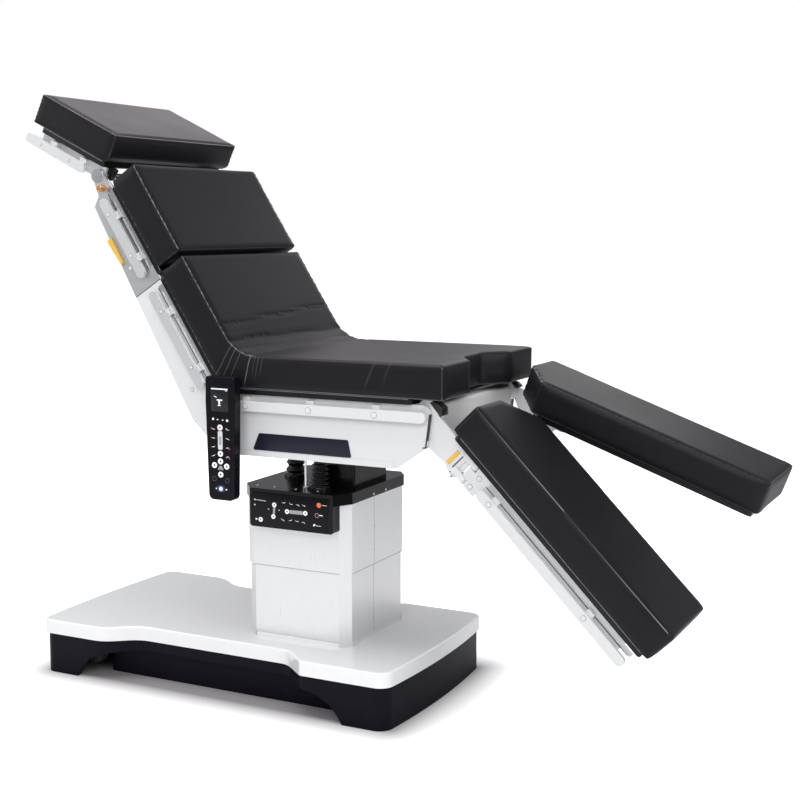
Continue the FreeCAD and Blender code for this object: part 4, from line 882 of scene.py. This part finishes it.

# Lines that the plates' recesses and edges make: painted shadow along the rails and in gaps, painted shade in
# the recesses above the rails, painted highlights on the plates' top edges, and the parting line
for side, hand in ((-1, "near"), (1, "far")):
    # Painted shadow: dark lines on the back's plates along the rails' upper edges.
    slot = bar((0.609, 0.0215), (0.388, 0.0235), 0.0020)
    strip(f"upper_rail_shadow_{hand}", BACK, LINE_FACE, slot, 0.0006, line_dark, "back", "black_paint", side, 0)
    slot = bar((0.335, 0.0225), (0.060, 0.0235), 0.0020)
    strip(f"lower_rail_shadow_{hand}", BACK, LINE_FACE, slot, 0.0006, line_dark, "back", "black_paint", side, 0)
    # Painted shade: darker strips on the plates between the rails' upper edges and the plates' top edges.
    for name, start, end, shade in (("upper", 0.392, 0.622, painted_shade_dark), ("lower", 0.052, 0.338, painted_shade_mid)):
        shade_strip = [(start, 0.0245), (end, 0.0245), (end, 0.0400), (start, 0.0400)]
        shade_strip_name = f"{name}_channel_{hand}"
        strip(shade_strip_name, BACK, PLATE_FACE, shade_strip, 0.0005, shade, "back", "grey_alloy", side, 0)
    # Painted highlight: white lines along the plates' top edges.
    edge = bar((0.640, 0.0425), (0.010, 0.0425), 0.0022)
    strip(f"back_edge_highlight_{hand}", BACK, LINE_FACE, edge, 0.0006, painted_highlight_white, "back", "white_paint", side, 0)
    edge = bar((0.203, 0.0252), (-0.008, 0.0252), 0.0018)
    strip(f"head_edge_highlight_{hand}", HEAD, 0.2468, edge, 0.0005, painted_highlight_white, "head", "white_paint", side, 0)
    parting = bar((0.3510, -0.0490), (0.3510, 0.0430), 0.0016)
    strip(f"back_parting_{hand}", BACK, 0.2563, parting, 0.0004, line_dark, "back", "black_paint", side, 0)
    # Painted shadow: a black strip standing for the shaded gap between the seat's plate and the leg's
    # housing.
    gap = bar((0.4165, 0.7600), (0.4062, 0.6840), 0.0034)
    strip(f"seat_front_gap_shadow_{hand}", TABLE, 0.2480, gap, 0.0084, hinge_black, "seat", "black_paint", side, 0)
    clip = bar((0.3990, 0.6815), (0.4120, 0.6835), 0.0026)
    clip_name = f"seat_front_clip_{hand}"
    strip(clip_name, TABLE, LINE_FACE, clip, 0.0014, hinge_black, "seat", "black_paint", side, 0)
    # Painted highlights: pale lines along the boards' upper edges
    for name, section, start, end, level, half, body in (
        ("seat", TABLE, -0.120, 0.366, 0.7922, BOARD_HALF, "seat"),
        ("lower_back", BACK, 0.050, 0.345, 0.0570, BOARD_HALF, "back"),
        ("upper_back", BACK, 0.364, 0.610, 0.0570, BOARD_HALF, "back"),
        ("head", HEAD, 0.000, 0.206, 0.0390, BOARD_HALF - 0.008, "head"),
    ):
        trim = bar((start, level), (end, level), 0.0012)
        strip(f"{name}_trim_{hand}", section, half, trim, 0.0004, painted_highlight_pale, body, "board", side, 0)
    leg_body = f"{hand}_leg"
    leg_section = NEAR_LEG if side < 0 else FAR_LEG
    # Painted highlight along the leg board's upper edge
    trim = bar((0.100, 0.0280), (0.706, 0.0280), 0.0012)
    strip(f"{hand}_leg_trim", leg_section, BOARD_HALF, trim, 0.0004, painted_highlight_pale, leg_body, "board", side, 0)

# Lines, bolts and the hinge ring on the inner faces of the seat's plates
SEAT_INNER = -0.248
for side, hand in ((-1, "far"), (1, "near")):
    for name, start, end, width in (
        ("upper", (0.205, 0.7390), (0.402, 0.7395), 0.0030),
        ("lower", (0.205, 0.6900), (0.300, 0.6920), 0.0025),
    ):
        line = bar(start, end, width)
        line_name = f"seat_inner_{name}_line_{hand}"
        strip(line_name, TABLE, SEAT_INNER, line, 0.0008, line_dark, "seat", "white_paint", side, 0)
    bolts = at(TABLE, SEAT_INNER, [(0.267, 0.7230), (0.327, 0.7240), (0.352, 0.7550)], side)
    heads(f"seat_inner_bolts_{hand}", 0.0030, 0.0015, bolts, line_dark, "seat")
    hoop = ring(f"seat_inner_ring_{hand}", 0.0125, 0.0009)
    finish(copies(hoop, at(TABLE, SEAT_INNER, [(0.389, 0.7560)], side)), line_dark, "seat", "rail_steel")

# Bare nameplate on the seat's side
name_outline = rounded_outline([(-0.058, 0.6445), (0.214, 0.6445), (0.205, 0.6860), (-0.040, 0.6860)], 0.0035)
strip("bare_nameplate", TABLE, PLATE_FACE, name_outline, 0.0012, plate_navy, "seat", "black_cap", -1, 0.0003)

# Black brackets that carry the head section on its pins
for side in (-1, 1):
    outline = rounded_outline([(-0.016, -0.006), (0.012, -0.011), (0.014, 0.0262), (-0.020, 0.0262)], 0.004)
    bracket = sheet_plate("bracket", outline, 0.014, 0.002)
    put(bracket, on_side(HEAD, 0.205, side))
    finish(bracket, hinge_black, "head", "black_paint")
    bracket.name = "head_bracket_near" if side < 0 else "head_bracket_far"


# Keypads: words-free marks on dark film

def marks(name, section, face, outlines, material, body, thick=0.0004):
    """Flat printed marks of one colour, as one piece."""
    made = []
    for outline in outlines:
        item = sheet_plate(name, outline, thick, 0)
        put(item, on_side(section, face))
        made.append(item)
    item = join(name, made)
    return finish(item, material, body, "black_cap")


def disc_outline(centre, radius, count=20):
    turns = [2 * math.pi * step / count for step in range(count)]
    return [(centre[0] + radius * math.cos(t), centre[1] + radius * math.sin(t)) for t in turns]


def table_mark(centre, size, head_up, leg_down):
    """A tiny picture of the table's top: three bars, the outer ones tilted."""
    x, z = centre
    left = (x - size * 0.9, z + size * head_up)
    right = (x + size * 0.9, z - size * leg_down)
    thick = size * 0.22
    near, far = (x - size * 0.35, z), (x + size * 0.35, z)
    return [bar(near, far, thick)], [bar(near, left, thick)], [bar(far, right, thick)]


def press_rings(name, face, centres, radius, body):
    """Raised pale rings round a dark middle."""
    made = []
    for x, z in centres:
        item = button_head("press", radius, 0.0009, 0.36, 28)
        put(item, on_side(TABLE, face) @ Matrix.Translation((x, z, 0)))
        made.append(item)
    finish(join(name, made), mark_white, body, "black_cap")
    middles = [disc_outline(centre, radius * 0.34) for centre in centres]
    marks(name + "_middles", TABLE, face + 0.0006, middles, screen_dark, body)


# Console on the column
FILM_FACE = 0.1910
film = rounded_outline([(-0.104, 0.4385), (0.108, 0.4385), (0.117, 0.5260), (-0.104, 0.5260)], 0.003)
strip("console_film", TABLE, FILM_FACE, film, 0.0007, membrane_film, "lift_head", "black_cap", -1, 0.0002)
PRINT_FACE = FILM_FACE + 0.0006
console_rings = [(-0.0396, 0.4973), (-0.0426, 0.4678), (-0.0028, 0.4840), (0.0492, 0.4845), (-0.0797, 0.4568)]
press_rings("console_keys", PRINT_FACE, console_rings, 0.0060, "lift_head")
bodies = [
    rounded_outline([(-0.0440, 0.4740), (-0.0380, 0.4740), (-0.0370, 0.4915), (-0.0430, 0.4915)], 0.002),
    rounded_outline([(0.0035, 0.4795), (0.0430, 0.4795), (0.0430, 0.4890), (0.0035, 0.4885)], 0.003),
]
marks("console_shapes", TABLE, PRINT_FACE, bodies, mark_grey, "lift_head", 0.0005)
white_marks = [
    bar((-0.0985, 0.5060), (-0.0945, 0.5060), 0.0032),
    bar((-0.0985, 0.4930), (-0.0950, 0.4930), 0.003),
    bar((-0.0920, 0.5060), (-0.0640, 0.5045), 0.0010),
    bar((-0.0950, 0.4570), (-0.0900, 0.4570), 0.0040),
    bar((0.0715, 0.4560), (0.0770, 0.4590), 0.0040),
    bar((0.0790, 0.4565), (0.0930, 0.4560), 0.0010),
    bar((0.0885, 0.4830), (0.0980, 0.4830), 0.0022),
    bar((0.0960, 0.5085), (0.1100, 0.5085), 0.0010),
]
pink_marks = [bar((x, 0.4850), (x + 0.0030, 0.4850), 0.0030) for x in (-0.0580, -0.0280)]
table_marks = [
    (-0.0130, 0.5045, 0.2, -0.5),
    (0.0080, 0.5030, 0.8, 0.0),
    (0.0275, 0.5035, 0.0, 0.6),
    (0.0450, 0.5030, 0.5, 0.4),
    (-0.0160, 0.4620, 0.7, 0.5),
    (0.0060, 0.4620, 0.0, -0.5),
    (0.0250, 0.4615, 0.5, -0.3),
    (0.0430, 0.4615, -0.4, 0.6),
]
for x, z, up, down in table_marks:
    middle, left, right = table_mark((x, z), 0.0052, up, down)
    white_marks += middle + right
    pink_marks += left
marks("console_print_pale", TABLE, PRINT_FACE, white_marks, mark_white, "lift_head")
marks("console_print_pink", TABLE, PRINT_FACE, pink_marks, mark_pink, "lift_head")
stop_key = disc_outline((0.0876, 0.5080), 0.0062, 28)
marks("console_stop", TABLE, PRINT_FACE, [stop_key], mark_orange, "lift_head", 0.0008)
dim_disc = copies(ring("console_dim_ring", 0.0052, 0.0005), at(TABLE, PRINT_FACE, [(0.0817, 0.4821)]))
finish(dim_disc, mark_pink, "lift_head", "black_cap")

# Handset
KEY_FACE = 0.3220
screen = rounded_outline([(-0.1330, 0.7420), (-0.0830, 0.7420), (-0.0830, 0.8010), (-0.1330, 0.8010)], 0.002)
strip("handset_screen", TABLE, KEY_FACE, screen, 0.0005, screen_glass, "handset", "black_cap", -1, 0.0001)
shown = [
    bar((-0.1315, 0.7965), (-0.0845, 0.7965), 0.0030),
    bar((-0.1240, 0.7790), (-0.1160, 0.7760), 0.0018),
    bar((-0.1160, 0.7700), (-0.1000, 0.7700), 0.0030),
    bar((-0.1090, 0.7690), (-0.1090, 0.7590), 0.0050),
    bar((-0.1130, 0.7570), (-0.1050, 0.7570), 0.0025),
    bar((-0.0920, 0.7930), (-0.0860, 0.7930), 0.0016),
]
marks("handset_shown", TABLE, KEY_FACE + 0.0005, shown, mark_white, "handset", 0.0002)
keys = [(-0.1080, z) for z in (0.7036, 0.6400, 0.6215)]
keys += [(-0.1255, 0.6112), (-0.0905, 0.6102), (-0.1080, 0.5894)]
press_rings("handset_keys", KEY_FACE, keys, 0.0072, "handset")
shape = rounded_outline([(-0.1145, 0.6500), (-0.1015, 0.6500), (-0.1015, 0.6950), (-0.1145, 0.6950)], 0.003)
marks("handset_shape", TABLE, KEY_FACE, [shape], mark_pale, "handset", 0.0006)
centre_marks = [disc_outline((-0.1080, 0.6060), 0.0052)]
centre_marks += [disc_outline((x, 0.6030), 0.0030) for x in (-0.1130, -0.1030)]
centre_marks += [bar((-0.1110, 0.6720), (-0.1050, 0.6720), 0.0200)]
marks("handset_grey", TABLE, KEY_FACE + 0.0004, centre_marks, mark_grey, "handset", 0.0004)
pale = [
    disc_outline((-0.1275, 0.7235), 0.0030),
    disc_outline((-0.0875, 0.7215), 0.0030),
    [(-0.1180, 0.7225), (-0.1135, 0.7245), (-0.1135, 0.7205)],
    [(-0.0975, 0.7220), (-0.1020, 0.7240), (-0.1020, 0.7200)],
    bar((-0.1230, 0.5545), (-0.1200, 0.5545), 0.0030),
    bar((-0.0945, 0.5535), (-0.0905, 0.5535), 0.0030),
    disc_outline((-0.1085, 0.5545), 0.0052),
]
warm = []
for row, z in enumerate((0.6990, 0.6770, 0.6555, 0.6340)):
    for x, side in ((-0.1290, -1), (-0.0865, 1)):
        middle, left, right = table_mark((x, z), 0.0058, 0.7 - 0.4 * row, 0.2 + 0.25 * row * side)
        pale += middle + (right if side < 0 else left)
        warm += left if side < 0 else right
marks("handset_print_pale", TABLE, KEY_FACE, pale, mark_white, "handset")
marks("handset_print_warm", TABLE, KEY_FACE, warm, mark_orange, "handset")
blue = rounded_outline([(-0.1180, 0.5470), (-0.0985, 0.5470), (-0.0985, 0.5625), (-0.1180, 0.5625)], 0.002)
marks("handset_print_blue", TABLE, KEY_FACE - 0.0001, [blue], mark_blue, "handset", 0.0003)
dim_places = at(TABLE, KEY_FACE, [(-0.1265, 0.5780), (-0.0900, 0.5760)])
finish(copies(ring("handset_dim_rings", 0.0056, 0.0006), dim_places), mark_dim, "handset", "black_cap")

# Column: screws of the cap, seams, lips and screws of the shells
cap_spots = [(-0.107, -0.161), (-0.057, -0.161), (0.005, -0.162), (0.067, -0.162)]
cap_places = [Matrix.Translation((x, y, 0.535)) for x, y in cap_spots]
cap_places += [outward_matrix((0.153, y, 0.514), (1, 0, 0)) for y in (-0.030, 0.035)]
heads("cap_screws", 0.0036, 0.0010, cap_places, pin_metal, "lift_head", 20)
# The seam and lip lines use mark_grey, which carries a faint painted glow.
seam = block("shell_seam_upper", (0.1498, -0.0215, 0.332), (0.1503, -0.0207, 0.506))
finish(seam, mark_grey, "lift_head", "shell_steel")
upper_screws = [outward_matrix((0.150, -0.021, z), (1, 0, 0)) for z in (0.4287, 0.3666)]
heads("upper_shell_screws", 0.0024, 0.0007, upper_screws, pin_metal, "lift_head")
lip = block("shell_lip_front", (-0.124, -0.1574, 0.3308), (0.124, -0.1568, 0.3322))
finish(lip, mark_grey, "lift_head", "shell_steel")
lip = block("shell_lip_side", (0.1498, -0.138, 0.3308), (0.1504, 0.138, 0.3322))
finish(lip, mark_grey, "lift_head", "shell_steel")
seam = block("shell_seam_lower", (0.1468, -0.0215, 0.158), (0.1473, -0.0207, 0.330))
finish(seam, mark_grey, "base", "shell_steel")
lower_screws = [outward_matrix((0.147, -0.021, z), (1, 0, 0)) for z in (0.3173, 0.2534, 0.1901)]
heads("lower_shell_screws", 0.0024, 0.0007, lower_screws, pin_metal, "base")


# Stage, lights and camera

def floor_finish():
    """Pale floor that reads white away from the base, with a painted shadow close by: its colour darkens
    towards the base.
    """
    made = Finish("floor_pale", (0.86, 0.86, 0.865), roughness=0.9, specular=0.1)
    axes = made.node("ShaderNodeSeparateXYZ", None, {"Vector": made.place})
    along = Flow(made, axes.socket.node.outputs["X"])
    across = Flow(made, axes.socket.node.outputs["Y"])
    past_end = ((along + 0.19).maths("ABSOLUTE") - 0.50).maths("MAXIMUM", 0.0)
    past_side = (across.maths("ABSOLUTE") - 0.26).maths("MAXIMUM", 0.0)
    away = (past_end * past_end + past_side * past_side).maths("SQRT")
    share = (away / 0.17).clipped()
    seen = made.node("ShaderNodeLightPath")
    glow = made.between(seen * share, (0.0, 0.0, 0.0), (0.95, 0.95, 0.95))
    # Painted shadow: the floor's colour goes from dark grey at and within the base's outline to pale 0.17 m
    # away.
    made.set("Base Color", made.between(share.maths("POWER", 0.6), (0.33, 0.315, 0.325), (0.86, 0.86, 0.865)))
    made.set("Emission Color", glow)
    made.set("Emission Strength", 1.0)
    return made.material


bpy.ops.mesh.primitive_plane_add(size=80, location=(0, 0, 0))
floor = bpy.context.object
floor.name = "stage_floor"
floor.data.materials.append(floor_finish())

world = bpy.data.worlds.new("studio")
scene.world = world
world.use_nodes = True
tree = world.node_tree
sky = tree.nodes["Background"]
sky.inputs["Color"].default_value = (0.9, 0.92, 0.95, 1)
sky.inputs["Strength"].default_value = 0.34
white = tree.nodes.new("ShaderNodeBackground")
white.inputs["Color"].default_value = (1, 1, 1, 1)
white.inputs["Strength"].default_value = 1.0
paths = tree.nodes.new("ShaderNodeLightPath")
mixer = tree.nodes.new("ShaderNodeMixShader")
tree.links.new(paths.outputs["Is Camera Ray"], mixer.inputs["Fac"])
tree.links.new(sky.outputs[0], mixer.inputs[1])
tree.links.new(white.outputs[0], mixer.inputs[2])
tree.links.new(mixer.outputs[0], tree.nodes["World Output"].inputs["Surface"])


def lamp(name, spot, aim, power, wide, high, colour=(1, 1, 1)):
    light = bpy.data.lights.new(name, "AREA")
    light.shape = "RECTANGLE"
    light.size = wide
    light.size_y = high
    light.energy = power
    light.color = colour
    item = bpy.data.objects.new(name, light)
    scene.collection.objects.link(item)
    item.location = spot
    item.rotation_euler = (Vector(aim) - Vector(spot)).to_track_quat("-Z", "Y").to_euler()
    return item


lamp("softbox_above", (-0.3, -0.4, 4.2), (0, 0, 0.6), 122, 3.6, 2.8)
lamp("softbox_front", (1.2, -3.8, 2.9), (0, 0, 0.6), 75, 3.0, 1.8)
lamp("softbox_left", (-3.6, -2.2, 2.4), (0, 0, 0.7), 35, 2.4, 2.4)
lamp("softbox_behind", (-2.6, 3.3, 3.5), (-0.4, 0, 1.0), 28, 2.6, 2.0, (1.0, 0.92, 0.97))
lamp("softbox_right", (3.6, -0.6, 1.9), (0, 0, 0.3), 50, 2.4, 2.0)
lamp("softbox_far", (-0.3, 4.0, 2.4), (0.7, 0.2, 0.8), 13, 2.0, 1.0)

# The camera was solved from the straight edges of the seat, the base and the column
FOCAL_PIXELS = 1365
IMAGE_PIXELS = 800
camera_data = bpy.data.cameras.new("camera")
camera_data.sensor_width = 36
camera_data.lens = camera_data.sensor_width * FOCAL_PIXELS / IMAGE_PIXELS
camera = bpy.data.objects.new("camera", camera_data)
scene.collection.objects.link(camera)
camera.location = (1.729, -3.016, 1.187)
yaw = math.radians(26.7)
pitch = math.radians(7.35)
aim = Vector((-math.sin(yaw) * math.cos(pitch), math.cos(yaw) * math.cos(pitch), -math.sin(pitch)))
camera.rotation_euler = aim.to_track_quat("-Z", "Y").to_euler()
camera_data.clip_end = 100
scene.camera = camera

scene.view_settings.view_transform = "Standard"
